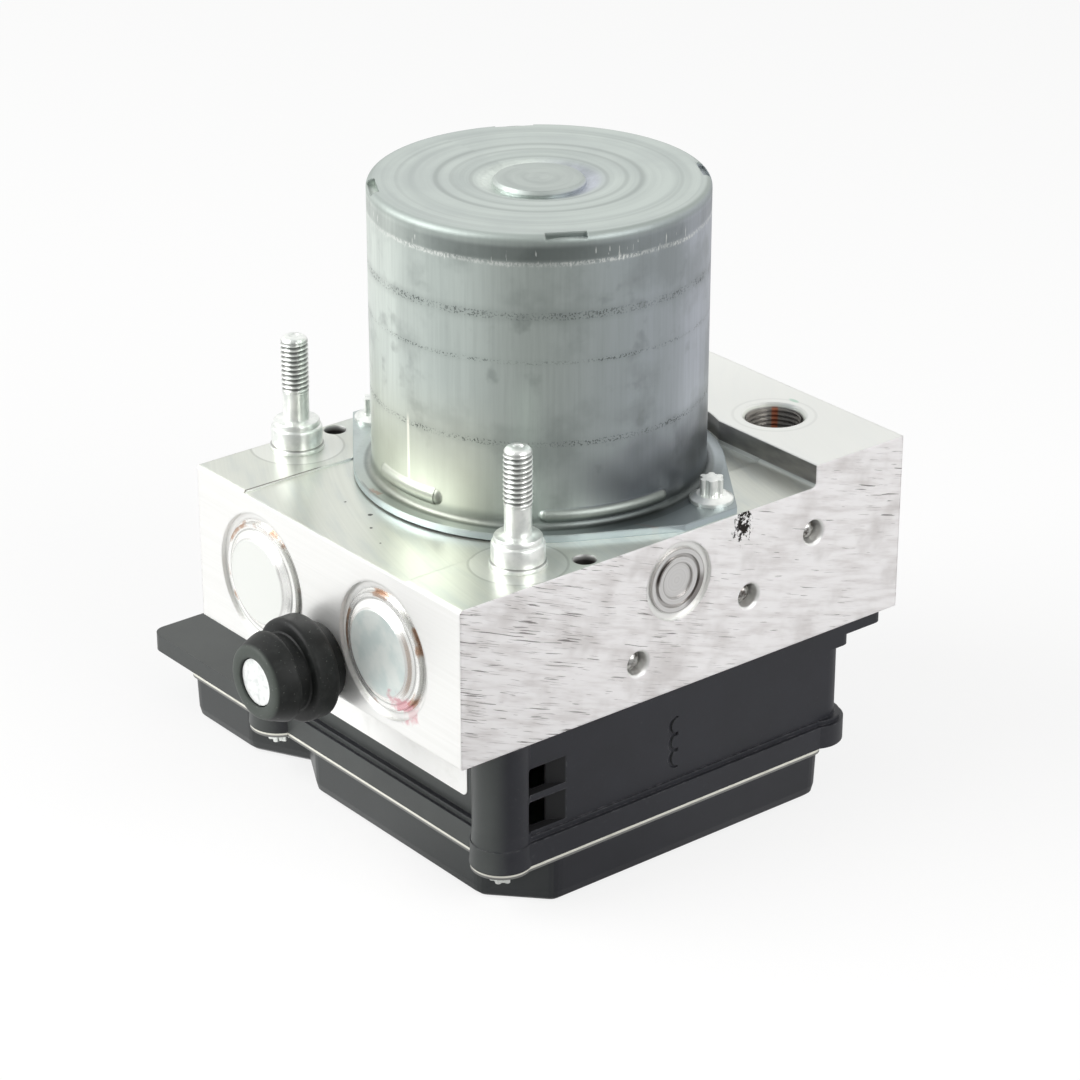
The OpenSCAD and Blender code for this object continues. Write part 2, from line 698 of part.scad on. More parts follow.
// Ball bearings, drawn as one race each with grooves in both faces
module bearing(outer, inner, h) {
    mid = (outer + inner) / 2;
    rotate_extrude() difference() {
        translate([inner, 0]) square([outer - inner, h]);
        translate([mid - 0.8, -cut]) square([1.6, 0.6 + cut]);
        translate([mid - 0.8, h - 0.6]) square([1.6, 0.6 + cut]);
    }
}
upper_shaft_r = shaft_r - 1;
module upper_bearing() {
    color("silver") translate([0, 0, can_top - can_t - upper_bearing_h])
        bearing(upper_bearing_r, upper_shaft_r + running, upper_bearing_h);
}
lower_bearing_r = shaft_r + 4;
lower_bearing_h = 5;
lower_bearing_z = top_z - 4.4;
module lower_bearing() {
    color("silver") translate([0, 0, lower_bearing_z])
        bearing(lower_bearing_r, shaft_r + running, lower_bearing_h);
}
end_bearing_r = 5;
end_bearing_h = 4.6;
end_seat_z = top_z - cavity_depth - end_bearing_h - 0.2;
module end_bearing() {
    color("silver") translate([0, 0, end_seat_z + 0.05]) difference() {
        cylinder(r = end_bearing_r, h = end_bearing_h);
        translate([0, 0, -cut]) cylinder(r = end_pin_r + running, h = end_bearing_h + 2 * cut);
    }
}
end_pin_r = 3;

// Brush plate: moulded disc with the lower bearing's hub, two brush boxes and the terminals' sleeve
sleeve_y = can_r - 11.9;
sleeve_r = 6.8;
brush_w = 6;
brush_h = 8;
brush_back = 17;
brush_box_end = 25;
brush_box_wall = 1.5;
terminal_xs = [-3, 3];
module brush_plate() {
    color("ivory") difference() {
        union() {
            translate([0, 0, top_z + 0.01]) cylinder(r = can_r - can_t - 0.3, h = plate_top - top_z);
            translate([0, 0, lower_bearing_z - 1])
                cylinder(r = cavity_r - 0.1, h = plate_top - lower_bearing_z + 1);
            translate([0, -sleeve_y, block_z - 2]) cylinder(r = sleeve_r, h = plate_top - block_z + 4);
            brush_space(commutator_r + 2, brush_box_end + 2, brush_box_wall, plate_top - 1 - commutator_z);
        }
        translate([0, 0, lower_bearing_z])
            cylinder(r = lower_bearing_r + fit, h = plate_top - lower_bearing_z + cut);
        translate([0, 0, lower_bearing_z - 2]) cylinder(r = shaft_r + 1.5, h = lower_bearing_h);
        brush_space(commutator_r, brush_box_end, 0.1, -0.1);
        for (x = terminal_xs)
            box([x - 0.45, x + 0.45], [-sleeve_y - 2.05, -sleeve_y + 2.05], [block_z - 3, plate_top + 4]);
    }
}

// The two brush boxes, larger than the brushes by a wall, or the space inside them
module brush_space(near, far, wall, low) {
    for (side = [0, 180]) rotate(side) translate([0, 0, commutator_z])
        box([near, far], [-brush_w / 2 - wall, brush_w / 2 + wall], [low, brush_h + wall]);
}

// Carbon brushes, with a hollow face that follows the commutator
module brushes() {
    color("dimgray") for (side = [0, 180]) rotate(side) translate([0, 0, commutator_z]) difference() {
        box([commutator_r - 1, brush_back], [-brush_w / 2, brush_w / 2], [0, brush_h]);
        translate([0, 0, -cut]) cylinder(r = commutator_r + running, h = brush_h + 2 * cut);
    }
}

// Springs behind the brushes
module brush_springs() {
    length = brush_box_end - brush_back - 0.1;
    color("goldenrod") for (side = [-1, 1]) translate([0, 0, commutator_z + brush_h / 2])
        rotate([0, side * 90, 0]) translate([0, 0, brush_back + 0.05]) coil_spring(2.2, 0.3, length, 5, 8, 4);
}

// Two blades that lead the motor's current from the brush plate through the block to the circuit board
module motor_terminals() {
    color("gold") for (x = terminal_xs)
        box([x - 0.4, x + 0.4], [-sleeve_y - 2, -sleeve_y + 2], [plate_z + 0.02, plate_top + 5]);
}

// Armature core: laminated drum with open slots between its T-shaped teeth
module armature_core() {
    color("slategray") translate([0, 0, core_z]) linear_extrude(armature_len) difference() {
        circle(armature_r);
        circle(shaft_r + fit);
        for (i = [0:slot_count - 1]) rotate(i * 360 / slot_count) {
            translate([slot_mid, 0]) circle(slot_r);
            translate([slot_mid, -1]) square([armature_r, 2]);
            translate([slot_mid - slot_deep, 0]) circle(slot_r * 0.6);
        }
    }
}
slot_mid = armature_r - slot_r - 2.4;
slot_deep = slot_r * 1.3;

// Copper windings: the wires in the slots and the crowned end turns above and below the core
module armature_windings() {
    color("chocolate") {
        for (i = [0:slot_count - 1]) rotate(i * 360 / slot_count)
            translate([slot_mid, 0, core_z - end_turns / 2])
                cylinder(r = slot_r - 0.3, h = armature_len + end_turns);
        for (z = [core_z - 0.15 - end_turns / 2, core_top + 0.15 + end_turns / 2]) translate([0, 0, z])
            rotate_extrude() {
                translate([slot_mid - slot_deep - 3, -end_turns / 2]) square([slot_deep + 4, end_turns]);
                translate([slot_mid + 1, 0]) circle(end_turns / 2);
                translate([slot_mid - slot_deep - 3, 0]) circle(end_turns / 2);
            }
    }
}

// Commutator: copper drum, grooved between its segments, on a moulded hub
module commutator() {
    color("peru") translate([0, 0, commutator_z - 0.3]) difference() {
        cylinder(r = commutator_r, h = commutator_len);
        translate([0, 0, -cut]) cylinder(r = shaft_r + fit, h = commutator_len + 2 * cut);
        for (i = [0:slot_count - 1]) rotate((i + 0.5) * 360 / slot_count)
            translate([commutator_r - 0.8, -0.25, -cut]) cube([cut + 1, 0.5, commutator_len - 1 + cut]);
    }
}

// Motor shaft: one turned piece with the eccentric near its lower end
eccentric_h = 8;
module motor_shaft() {
    shaft_from = pump_z + eccentric_h / 2 - 0.5;
    color("silver") {
        translate([0, 0, shaft_from]) cylinder(r = shaft_r, h = core_top + 4 - shaft_from);
        translate([0, 0, core_top]) cylinder(r = upper_shaft_r, h = can_top - can_t - 0.5 - core_top);
        translate([0, eccentricity, pump_z - eccentric_h / 2]) cylinder(r = eccentric_r, h = eccentric_h);
        translate([0, 0, end_seat_z + 0.4]) cylinder(r = end_pin_r, h = pump_z - end_seat_z - 1);
    }
}

// Needle bearing on the eccentric, against whose ring the pistons run
module eccentric_bearing() {
    color("lightgray") translate([0, eccentricity, pump_z - eccentric_h / 2 + 0.2]) difference() {
        cylinder(r = eccentric_bearing_r, h = eccentric_h - 0.4);
        translate([0, 0, -cut]) cylinder(r = eccentric_r + fit, h = eccentric_h + 2 * cut);
    }
}

// Valve cartridges: a body pressed into the block, and a dome that reaches down into its coil
valve_nose_r = valve_r - 2.3;
valve_nose_len = 4;
dome_wall = 0.5;
dome_in = dome_r - dome_wall;
pin_r = 1.1;
dome_end = 1;
module valve_body(bore_from, bore_to) {
    rotate_extrude() difference() {
        union() {
            square([valve_r, valve_depth]);
            translate([0, valve_depth - cut]) square([valve_nose_r, valve_nose_len + cut]);
            translate([0, dome_r - dome_len]) square([dome_r, dome_len - dome_r + cut]);
            intersection() {
                translate([0, dome_r - dome_len]) circle(dome_r);
                translate([0, -dome_len]) square([dome_r, dome_r + 0.1]);
            }
        }
        translate([0, bore_from]) square([dome_in, bore_to - bore_from]);
        translate([0, bore_from]) square([pin_r + 0.1, valve_depth - bore_from + valve_nose_len + cut]);
        translate([valve_r - 0.4, valve_depth / 2]) square([cut, 1]);
    }
}

// In an inlet valve the spring holds the armature down and the valve open
inlet_floor = dome_r - dome_len;
inlet_roof = inlet_floor + 14;
module inlet_valves() {
    color("silver") for (x = valve_xs)
        translate([x, inlet_y, block_z]) valve_body(inlet_floor, inlet_roof);
}

// In an outlet valve the spring holds the armature up and the valve closed
outlet_floor = dome_r - dome_len + 1.5;
outlet_roof = outlet_floor + 12.5;
module outlet_valves() {
    color("silver") for (x = valve_xs)
        translate([x, outlet_y, block_z]) valve_body(outlet_floor, outlet_roof);
}

// Armatures with the pins that close the seats
inlet_armature_h = 10.2;
outlet_armature_h = 11.4;
pin_tip = valve_depth + 1;
module inlet_armature(i) {
    color("gray") translate([valve_xs[i], inlet_y, block_z]) difference() {
        union() {
            translate([0, 0, inlet_floor + 0.1]) cylinder(r = dome_in - running, h = inlet_armature_h);
            translate([0, 0, inlet_floor + 1]) cylinder(r = pin_r, h = pin_tip - inlet_floor - 1);
        }
        for (side = [-1, 1]) translate([side * (dome_in - 0.3) - 0.5, -0.5, inlet_floor - cut])
            cube([1, 1, inlet_armature_h + 3 * cut]);
    }
}
module outlet_armature(i) {
    low = outlet_floor + valve_travel + 0.1;
    color("gray") translate([valve_xs[i], outlet_y, block_z]) difference() {
        union() {
            translate([0, 0, low]) cylinder(r = dome_in - running, h = outlet_armature_h);
            translate([0, 0, low + 5]) cylinder(r = pin_r, h = pin_tip - low - 5);
        }
        translate([0, 0, low - cut]) cylinder(r = outlet_pocket_r, h = 3 + cut);
        for (side = [-1, 1]) translate([side * (dome_in - 0.3) - 0.5, -0.5, low - cut])
            cube([1, 1, outlet_armature_h + 3 * cut]);
    }
}
outlet_pocket_r = 2.2;
module inlet_armature_1() { inlet_armature(0); }
module inlet_armature_2() { inlet_armature(1); }
module inlet_armature_3() { inlet_armature(2); }
module inlet_armature_4() { inlet_armature(3); }
module outlet_armature_1() { outlet_armature(0); }
module outlet_armature_2() { outlet_armature(1); }
module outlet_armature_3() { outlet_armature(2); }
module outlet_armature_4() { outlet_armature(3); }

// Springs of the valves
module inlet_springs() {
    low = inlet_floor + 0.1 + inlet_armature_h;
    color("goldenrod") for (x = valve_xs) translate([x, inlet_y, block_z + low + 0.05])
        coil_spring(dome_in - 1.4, 0.3, inlet_roof - low - 0.1, 3, 8, 4);
}
module outlet_springs() {
    color("goldenrod") for (x = valve_xs) translate([x, outlet_y, block_z + outlet_floor + 0.05])
        coil_spring(outlet_pocket_r - 0.5, 0.25, valve_travel + 3, 4, 8, 4);
}

// Coils: a steel case, a bobbin and its winding round each valve's dome
coil_in = dome_r + 0.4;
coil_top = block_z - deck_t - 0.1;
coil_low = block_z - dome_len - 0.4;
case_t = 0.7;
coil_foot = 7;
module coil_at() {
    for (x = valve_xs, y = [inlet_y, outlet_y]) translate([x, y, 0]) children();
}
module coil_cases() {
    h = coil_top - coil_low;
    color("silver") coil_at() translate([0, 0, coil_low]) difference() {
        cylinder(r = coil_r, h = h);
        translate([0, 0, case_t]) cylinder(r = coil_r - case_t, h = h - 2 * case_t);
        translate([0, 0, -cut]) cylinder(r = coil_in, h = h + 2 * cut);
        box([-4, 4], [-coil_foot - 1, 1 - coil_foot], [-cut, case_t + 0.1]);
    }
}
module coil_bobbins() {
    color("black") coil_at() translate([0, 0, coil_low + case_t + 0.05]) rotate_extrude() {
        h = coil_top - coil_low - 2 * case_t - 0.1;
        translate([coil_in, 0]) square([0.8, h]);
        translate([coil_in, 0]) square([coil_r - case_t - fit - coil_in, 1]);
        translate([coil_in, h - 1]) square([coil_r - case_t - fit - coil_in, 1]);
    }
}
module solenoid_coils() {
    h = coil_top - coil_low - 2 * case_t - 2.2;
    color("chocolate") coil_at() translate([0, 0, coil_low + case_t + 1.1]) difference() {
        cylinder(r = coil_r - case_t - 0.3, h = h);
        translate([0, 0, -cut]) cylinder(r = coil_in + 0.8 + fit, h = h + 2 * cut);
    }
}

// Two pins from each coil down through the base plate to the circuit board
module coil_terminals() {
    color("gold") coil_at() for (x = terminal_xs) translate([x, -coil_foot, plate_z + 0.02])
        cylinder(r = 0.4, h = coil_low + case_t - plate_z, $fn = 16);
}

// Outline of the base plate, with the ears of the two front screws
module unit_plan(back, left, ear) {
    rounded([-left, unit_right], [-unit_front, back], 3);
    for (x = [-column_x, column_x]) translate([x, -column_y]) circle(ear);
}

// Control unit's housing: rim, shelf with the connector's shroud, walls, screw columns and deck
wall_right = unit_right - wall_step;
wall_front = unit_front - 2;
back_column_r = 4.2;
wall_back = back_column_y + back_column_r;
back_ear_r = 6.4;
shelf_z = housing_z + shelf_h;
shroud_right = -wall_right - 3.5;
shroud_left = shroud_right - shroud_w;
shroud_back = shroud_len / 2 + 8;
module ecu_housing() {
    color("#2b2d31") difference() {
        union() {
            housing_rim();
            translate([0, 0, housing_z]) linear_extrude(housing_h) wall_plan(0);
            translate([0, 0, block_z - deck_t]) linear_extrude(deck_t)
                rounded([-wall_right, wall_right], [-wall_front, deck_back], 2);
            translate([0, 0, block_z - deck_t - 2.4]) linear_extrude(3)
                rounded([-wall_right, wall_right], [0, wall_back + 1.6], 2);
            connector_shroud();
            for (x = [-column_x, column_x]) translate([x, -column_y, housing_z]) {
                cylinder(r = column_r, h = housing_h);
                cylinder(r1 = column_r + 0.6, r2 = column_r, h = rim_h + 2);
            }
        }
        housing_inside();
        wall_pockets();
        wall_scallops();
    }
}

module housing_rim() {
    translate([0, 0, housing_z]) {
        linear_extrude(rim_h - 1) rim_plan(0);
        linear_extrude(rim_h) rim_plan(0.8);
        linear_extrude(shelf_h) rounded([-shelf_left, -wall_right], [-unit_front, unit_back], 3);
    }
}

module rim_plan(margin) {
    rounded([-wall_right - 1.5 + margin, unit_right - margin], [-unit_front + margin, unit_back + 1 - margin],
        3 - margin);
    for (x = [-column_x, column_x]) {
        translate([x, -column_y]) circle(column_r + 0.4 - margin);
        translate([x, back_column_y]) circle(back_ear_r - margin);
    }
}

module wall_plan(margin) {
    rounded([-wall_right + margin, wall_right - margin], [-wall_front + margin, wall_back - margin],
        back_column_r - margin * 0.5);
}

// Shroud for the wiring plug, with a key rib inside and two latch lugs outside
module connector_shroud() {
    translate([0, 0, shelf_z - 0.5]) linear_extrude(shroud_h + 0.5)
        rounded([shroud_left, shroud_right], [shroud_back - shroud_len, shroud_back], 4);
    mid = (shroud_left + shroud_right) / 2;
    for (y = [shroud_back - shroud_len - 1.4, shroud_back - 1])
        box([mid - 3, mid + 3], [y, y + 2.4], [shelf_z + 14, shelf_z + 17]);
}

module housing_inside() {
    difference() {
        translate([0, 0, housing_z - cut]) linear_extrude(housing_h - deck_t + cut) wall_plan(housing_t);
        for (x = [-column_x, column_x]) {
            translate([x, -column_y, 0]) cylinder(r = column_r, h = block_z);
            translate([x, back_column_y, 0]) cylinder(r = back_column_r, h = block_z);
        }
    }
    box([-unit_left + 4, 0], [-unit_front + 6, unit_back - 4], [housing_z - cut, shelf_z - 2]);
    translate([0, 0, shelf_z + 2]) linear_extrude(shroud_h) difference() {
        rounded([shroud_left + 2, shroud_right - 2], [shroud_back - shroud_len + 2, shroud_back - 2], 2.5);
        translate([shroud_left + 1, shroud_back - shroud_len / 2 - 1]) square([2.2, 2]);
    }
    for (x = valve_xs, y = [inlet_y, outlet_y]) translate([x, y, 0])
        cylinder(r = dome_r + 0.6, h = block_z + cut);
    translate([0, -sleeve_y, 0]) cylinder(r = sleeve_r + 0.4, h = block_z + cut);
    pin_slots(shelf_z - 3, shelf_z + 3);
    for (x = [-column_x, column_x]) {
        translate([x, -column_y, 0]) cylinder(r = unit_screw_r + 0.3, h = block_z + cut);
        translate([x, back_column_y, 0]) cylinder(r = unit_screw_r + 0.3, h = block_z + cut);
        translate([x, back_column_y, housing_z - cut]) cylinder(r = back_head_r + 0.4, h = back_head_h + cut);
    }
    translate([0, 0, block_z - seal_h]) linear_extrude(seal_h + cut) seal_plan(0.1);
}

// Two tapered pockets in the right wall, beside the front screw column, each from one level to another
wall_pocket_levels = [[6.9, 13.5], [15, 20.8]];
wall_pocket_depth = 4.2;
wall_pocket_near = 2.8;
wall_pocket_far = 12.7;
module wall_pockets() {
    near = wall_pocket_near;
    for (level = wall_pocket_levels) translate([wall_right, -column_y, housing_z + level[0]])
        linear_extrude(level[1] - level[0]) polygon([[cut, near], [-wall_pocket_depth, near],
            [-wall_pocket_depth, near + 2.6], [0, wall_pocket_far], [cut, wall_pocket_far]]);
}

// Three sickle-shaped grooves on the right wall
scallop_y = 1.2;
scallop_z = 10.6;
scallop_pitch = 3.6;
scallop_r = 2.2;
module wall_scallops() {
    for (i = [0:2]) translate([wall_right - 0.4, scallop_y, housing_z + scallop_z + i * scallop_pitch])
        rotate([0, 90, 0]) difference() {
            cylinder(r = scallop_r, h = 2 * cut);
            translate([0, 0.6, -cut]) cylinder(r = scallop_r - 0.3, h = 4 * cut);
            translate([-2 * scallop_r, 0.4, -cut]) cube([4 * scallop_r, 2 * scallop_r, 4 * cut]);
        }
}

// Flat seal between the housing's deck and the block
seal_h = 1;
seal_w = 1.4;
seal_sleeve_gap = 1.2;
seal_x = wall_right - 3.4;
seal_front = -sleeve_y - sleeve_r - seal_sleeve_gap - seal_w;
seal_back = back_column_y - unit_screw_r - 0.7;
module seal_plan(grow) {
    difference() {
        rounded([-seal_x - grow, seal_x + grow], [seal_front - grow, seal_back + grow], 4);
        rounded([-seal_x + seal_w + grow, seal_x - seal_w - grow],
            [seal_front + seal_w + grow, seal_back - seal_w - grow], 2.5);
    }
}
module housing_seal() {
    color("black") translate([0, 0, block_z - seal_h + 0.02]) linear_extrude(seal_h - 0.04) seal_plan(0);
}

// Aluminium base plate that closes the housing and carries the circuit board on its underside
module base_plate() {
    color("beige") translate([0, 0, plate_z]) linear_extrude(plate_t) difference() {
        unit_plan(unit_back, unit_left, column_r + 0.4);
        for (x = [-column_x, column_x]) {
            translate([x, -column_y]) circle(unit_screw_r + 0.3);
            translate([x, back_column_y]) circle(back_head_r + 1.2);
        }
        for (y = [inlet_y, outlet_y]) translate([-valve_pitch * 1.5 - 5, y - coil_foot - 1.2])
            square([valve_pitch * 3 + 10, 2.4]);
        translate([-5, -sleeve_y - 3]) square([10, 6]);
        translate([pin_rows[2] - 2, pin_mid - pin_window / 2])
            square([pin_rows[0] - pin_rows[2] + 4, pin_window]);
    }
}

// Circuit board on the underside of the base plate
board_t = 1.6;
board_z = plate_z - board_t;
board_x = [-unit_left + 3.5, unit_right - 5.5];
board_y = [-unit_front + 10, unit_back - 4.4];
module circuit_board() {
    color("seagreen") difference() {
        box(board_x, board_y, [board_z, plate_z]);
        for (x = [board_x[0] + 4, board_x[1] - 4], y = [board_y[0] + 4, board_y[1] - 4])
            translate([x, y, board_z - cut]) cylinder(r = 1.4, h = board_t + 2 * cut);
    }
}

// Processor, drivers and two inductors under the circuit board, and a row of capacitors at its left edge
capacitor_r = 4;
module board_components() {
    row = board_x[0] + 12;
    tall = cover_h - cover_t - board_t - 0.8;
    color("#202124") translate([0, 0, board_z - 0.02]) mirror([0, 0, 1]) {
        chip(-8, -6, [14, 14, 1.6]);
        chip(16, -4, [10, 10, 1.4]);
        chip(-34, 6, [12, 12, 1.5]);
        chip(14, 16, [12, 8, 2.4]);
        chip(-6, 18, [10, 8, 2.4]);
        chip(-28, -22, [12, 8, 3]);
        chip(20, -24, [8, 10, 2.2]);
        for (y = [board_y[0] + 12, board_y[0] + 26, board_y[1] - 9])
            translate([row, y, 0]) cylinder(r = capacitor_r, h = tall);
    }
}
module chip(x, y, size) {
    translate([x - size[0] / 2, y - size[1] / 2, 0]) cube(size);
}

// Connector pins: two rows of signal pins and a row of four wide blades, bent down to the board
row_gap = 4;
pin_rows = [for (i = [2:4]) shroud_right - i * row_gap];
pin_mid = shroud_back - shroud_len / 2;
pin_window = pin_count * pin_pitch + 24;
pin_tip_z = shelf_z + 12;
blade_count = 4;
blade_pitch = 9;
module pin_slots(low, high) {
    for (row = [0, 1], i = [0:pin_count - 1]) box([pin_rows[row] - 0.32, pin_rows[row] + 0.32],
        [signal_y(i) - 0.32, signal_y(i) + 0.32], [low, high]);
    for (i = [0:blade_count - 1]) box([pin_rows[2] - 0.42, pin_rows[2] + 0.42],
        [blade_y(i) - 2.02, blade_y(i) + 2.02], [low, high]);
}
function signal_y(i) = pin_mid + (i - (pin_count - 1) / 2) * pin_pitch;
function blade_y(i) = pin_mid + (i - (blade_count - 1) / 2) * blade_pitch;
module connector_pins() {
    color("gold") {
        for (row = [0, 1], i = [0:pin_count - 1]) box([pin_rows[row] - 0.3, pin_rows[row] + 0.3],
            [signal_y(i) - 0.3, signal_y(i) + 0.3], [plate_z + 0.02, pin_tip_z]);
        for (i = [0:blade_count - 1]) box([pin_rows[2] - 0.4, pin_rows[2] + 0.4],
            [blade_y(i) - 2, blade_y(i) + 2], [plate_z + 0.02, pin_tip_z]);
    }
}

// Lower cover: moulded tray with rounded floor edges, a cut corner and a notch for the two front screws
cover_r = 4;
module ecu_cover() {
    color("#303236") difference() {
        union() {
            tray(cover_left, 0);
            tray(cover_main, 0);
        }
        tray(cover_left, cover_t);
        tray(cover_main, cover_t);
    }
}

// Centres of the rounded corners, for the part left of the notch and for the rest
cover_back = unit_back - 0.4 - cover_r;
cover_front = cover_r - unit_front + 0.5;
notch_x = 3.2 - column_x;
notch_y = cover_front + 6.2;
cover_left = [[cover_r - unit_left, cover_front], [notch_x - 13, cover_front], [notch_x - 1.2, notch_y],
    [notch_x - 1.2, cover_back], [cover_r - unit_left, cover_back]];
cover_right = unit_right - cover_r;
cover_main = [[notch_x + 1.2, notch_y], [notch_x + 12.6, cover_front], [column_x - 7.4, cover_front],
    [cover_right, cover_front + 8.5], [cover_right, cover_back], [notch_x + 1.2, cover_back]];

// A tray through the given corners, drawn in by a margin, and open at the top if the margin isn't zero
module tray(corners, margin) {
    r = cover_r - margin;
    lift = margin;
    top = margin > 0 ? cover_h + cut : cover_h;
    hull() for (p = corners) translate([p[0], p[1], lift]) {
        cylinder(r = r - 1.9, h = 0.1, $fn = 24);
        translate([0, 0, 1]) cylinder(r = r - 0.7, h = 0.1, $fn = 24);
        translate([0, 0, 2.6]) cylinder(r = r - 0.3, h = 0.1, $fn = 24);
        translate([0, 0, top - lift - 0.1]) cylinder(r = r, h = 0.1, $fn = 24);
    }
}

// Unit screws: two long ones with six-lobed heads in front, two short ones sunk in the back ears
unit_screw_grip = 11;
front_head_r = 2.5;
back_head_r = 3.4;
back_head_h = 3.2;
module ecu_screws() {
    color("silver") for (x = [-column_x, column_x]) {
        translate([x, -column_y, 0]) {
            translate([0, 0, plate_z - 0.8]) {
                cylinder(r = unit_screw_r - 0.1, h = block_z + unit_screw_grip - 1 - plate_z);
                cylinder(r = front_head_r, h = 0.8);
            }
            translate([0, 0, plate_z - 3.2]) lobed_head(front_head_r - 0.1, 2.5);
        }
        translate([x, back_column_y, 0]) {
            translate([0, 0, housing_z + 1])
                cylinder(r = unit_screw_r, h = block_z + unit_screw_grip - 2 - housing_z);
            translate([0, 0, housing_z + back_head_h - 2.4]) cylinder(r = back_head_r, h = 2.4);
        }
    }
}

// Bare paper label on the front wall
label_w = 51;
label_mid = 1.6;
label_low = 9.5;
module ecu_label() {
    color("white") translate([label_mid, -wall_front, 0]) rotate([90, 0, 0])
        translate([0, 0, 0.01]) linear_extrude(0.15)
            rounded([-label_w / 2, label_w / 2], [housing_z + label_low, block_z - 0.8], 1.5);
}

valve_block();
ball_plugs();
pump_plug_right();
pump_plug_left();
reservoir_cap_right();
reservoir_cap_left();
reservoir_piston_right();
reservoir_piston_left();
reservoir_spring_right();
reservoir_spring_left();
mounting_studs();
mount_pin();
rubber_mount();
motor_can();
motor_screws();
motor_seal();
motor_magnets();
upper_bearing();
lower_bearing();
end_bearing();
brush_plate();
brushes();
brush_springs();
motor_terminals();
armature_core();
armature_windings();
commutator();
motor_shaft();
eccentric_bearing();
pump_piston_right();
pump_piston_left();
pump_spring_right();
pump_spring_left();
inlet_valves();
outlet_valves();
inlet_armature_1();
inlet_armature_2();
inlet_armature_3();
inlet_armature_4();
outlet_armature_1();
outlet_armature_2();
outlet_armature_3();
outlet_armature_4();
inlet_springs();
outlet_springs();
coil_cases();
coil_bobbins();
solenoid_coils();
coil_terminals();
ecu_housing();
housing_seal();
base_plate();
circuit_board();
board_components();
connector_pins();
ecu_cover();
ecu_screws();
ecu_label();
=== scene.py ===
import math

import bmesh
import bpy
from mathutils import Matrix, Vector


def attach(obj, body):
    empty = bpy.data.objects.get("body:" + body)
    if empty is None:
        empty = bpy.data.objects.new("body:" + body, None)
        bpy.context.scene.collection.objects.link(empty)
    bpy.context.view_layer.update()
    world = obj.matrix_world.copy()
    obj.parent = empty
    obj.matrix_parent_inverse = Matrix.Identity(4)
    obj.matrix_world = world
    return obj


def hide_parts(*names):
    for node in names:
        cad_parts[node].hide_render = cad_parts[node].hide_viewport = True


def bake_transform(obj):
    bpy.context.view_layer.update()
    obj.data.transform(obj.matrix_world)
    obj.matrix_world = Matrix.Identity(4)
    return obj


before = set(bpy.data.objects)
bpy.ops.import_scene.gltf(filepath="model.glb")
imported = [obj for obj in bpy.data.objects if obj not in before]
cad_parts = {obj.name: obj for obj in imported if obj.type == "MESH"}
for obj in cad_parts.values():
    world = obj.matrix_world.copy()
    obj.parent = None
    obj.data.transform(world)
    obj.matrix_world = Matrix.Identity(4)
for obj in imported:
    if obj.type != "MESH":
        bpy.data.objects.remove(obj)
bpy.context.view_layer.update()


# Valve block: a piece of extruded aluminium bar, sawn to length and drilled for pump, valves and ports.
# The saw leaves arcs of dark strokes on the two side faces, and a face mill brightens the top.
# It carries everything else, and its finish holds the marks of assembly: spot faces, stain and paint.
metre = 1000.0


def tint(code):
    """A colour as it is written for a screen, made linear for the shader."""
    levels = [int(code[i:i + 2], 16) / 255.0 for i in (0, 2, 4)]
    return tuple(v / 12.92 if v <= 0.04045 else ((v + 0.055) / 1.055) ** 2.4 for v in levels)


class Wire:
    """An output of a node; Python's operators on it add Math nodes to the same tree."""

    def __init__(self, tree, socket):
        self.tree = tree
        self.socket = socket

    def __add__(self, other):
        return self.tree.maths("ADD", self, other)

    def __radd__(self, other):
        return self.tree.maths("ADD", other, self)

    def __sub__(self, other):
        return self.tree.maths("SUBTRACT", self, other)

    def __rsub__(self, other):
        return self.tree.maths("SUBTRACT", other, self)

    def __mul__(self, other):
        return self.tree.maths("MULTIPLY", self, other)

    def __truediv__(self, other):
        return self.tree.maths("DIVIDE", self, other)

    def __pow__(self, other):
        return self.tree.maths("POWER", self, other)

    def __abs__(self):
        return self.tree.maths("ABSOLUTE", self)

    def __gt__(self, other):
        return self.tree.maths("GREATER_THAN", self, other)

    def __lt__(self, other):
        return self.tree.maths("LESS_THAN", self, other)


class Tree:
    """A shader's node tree, in which one method adds a node of any type."""

    def __init__(self, tree):
        self.nodes = tree.nodes
        self.links = tree.links

    def add(self, kind, settings=None, sockets=None, out=0):
        node = self.nodes.new("ShaderNode" + kind)
        for name, value in (settings or {}).items():
            setattr(node, name, value)
        for name, value in (sockets or {}).items():
            self.feed(node.inputs[name], value)
        return Wire(self, node.outputs[out]) if node.outputs else None

    def feed(self, socket, value):
        if isinstance(value, Wire):
            self.links.new(value.socket, socket)
        elif isinstance(value, str):
            socket.default_value = (*tint(value), 1.0)
        else:
            socket.default_value = value

    def maths(self, operation, *values):
        return self.add("Math", {"operation": operation}, dict(enumerate(values)))

    def parts(self, vector):
        """The three numbers of a vector."""
        split = self.add("SeparateXYZ", sockets={0: vector})
        return [Wire(self, socket) for socket in split.socket.node.outputs]

    def fade(self, value, low, high):
        """Rises softly from 0 to 1 while the value goes from low to high."""
        return self.add("MapRange", {"interpolation_type": "SMOOTHSTEP"},
                        {"Value": value, "From Min": low, "From Max": high})

    def mixed(self, mask, first, second):
        """The first colour where the mask is 0 and the second where it is 1."""
        return self.add("Mix", {"data_type": "RGBA"}, {0: mask, 6: first, 7: second}, out=2)


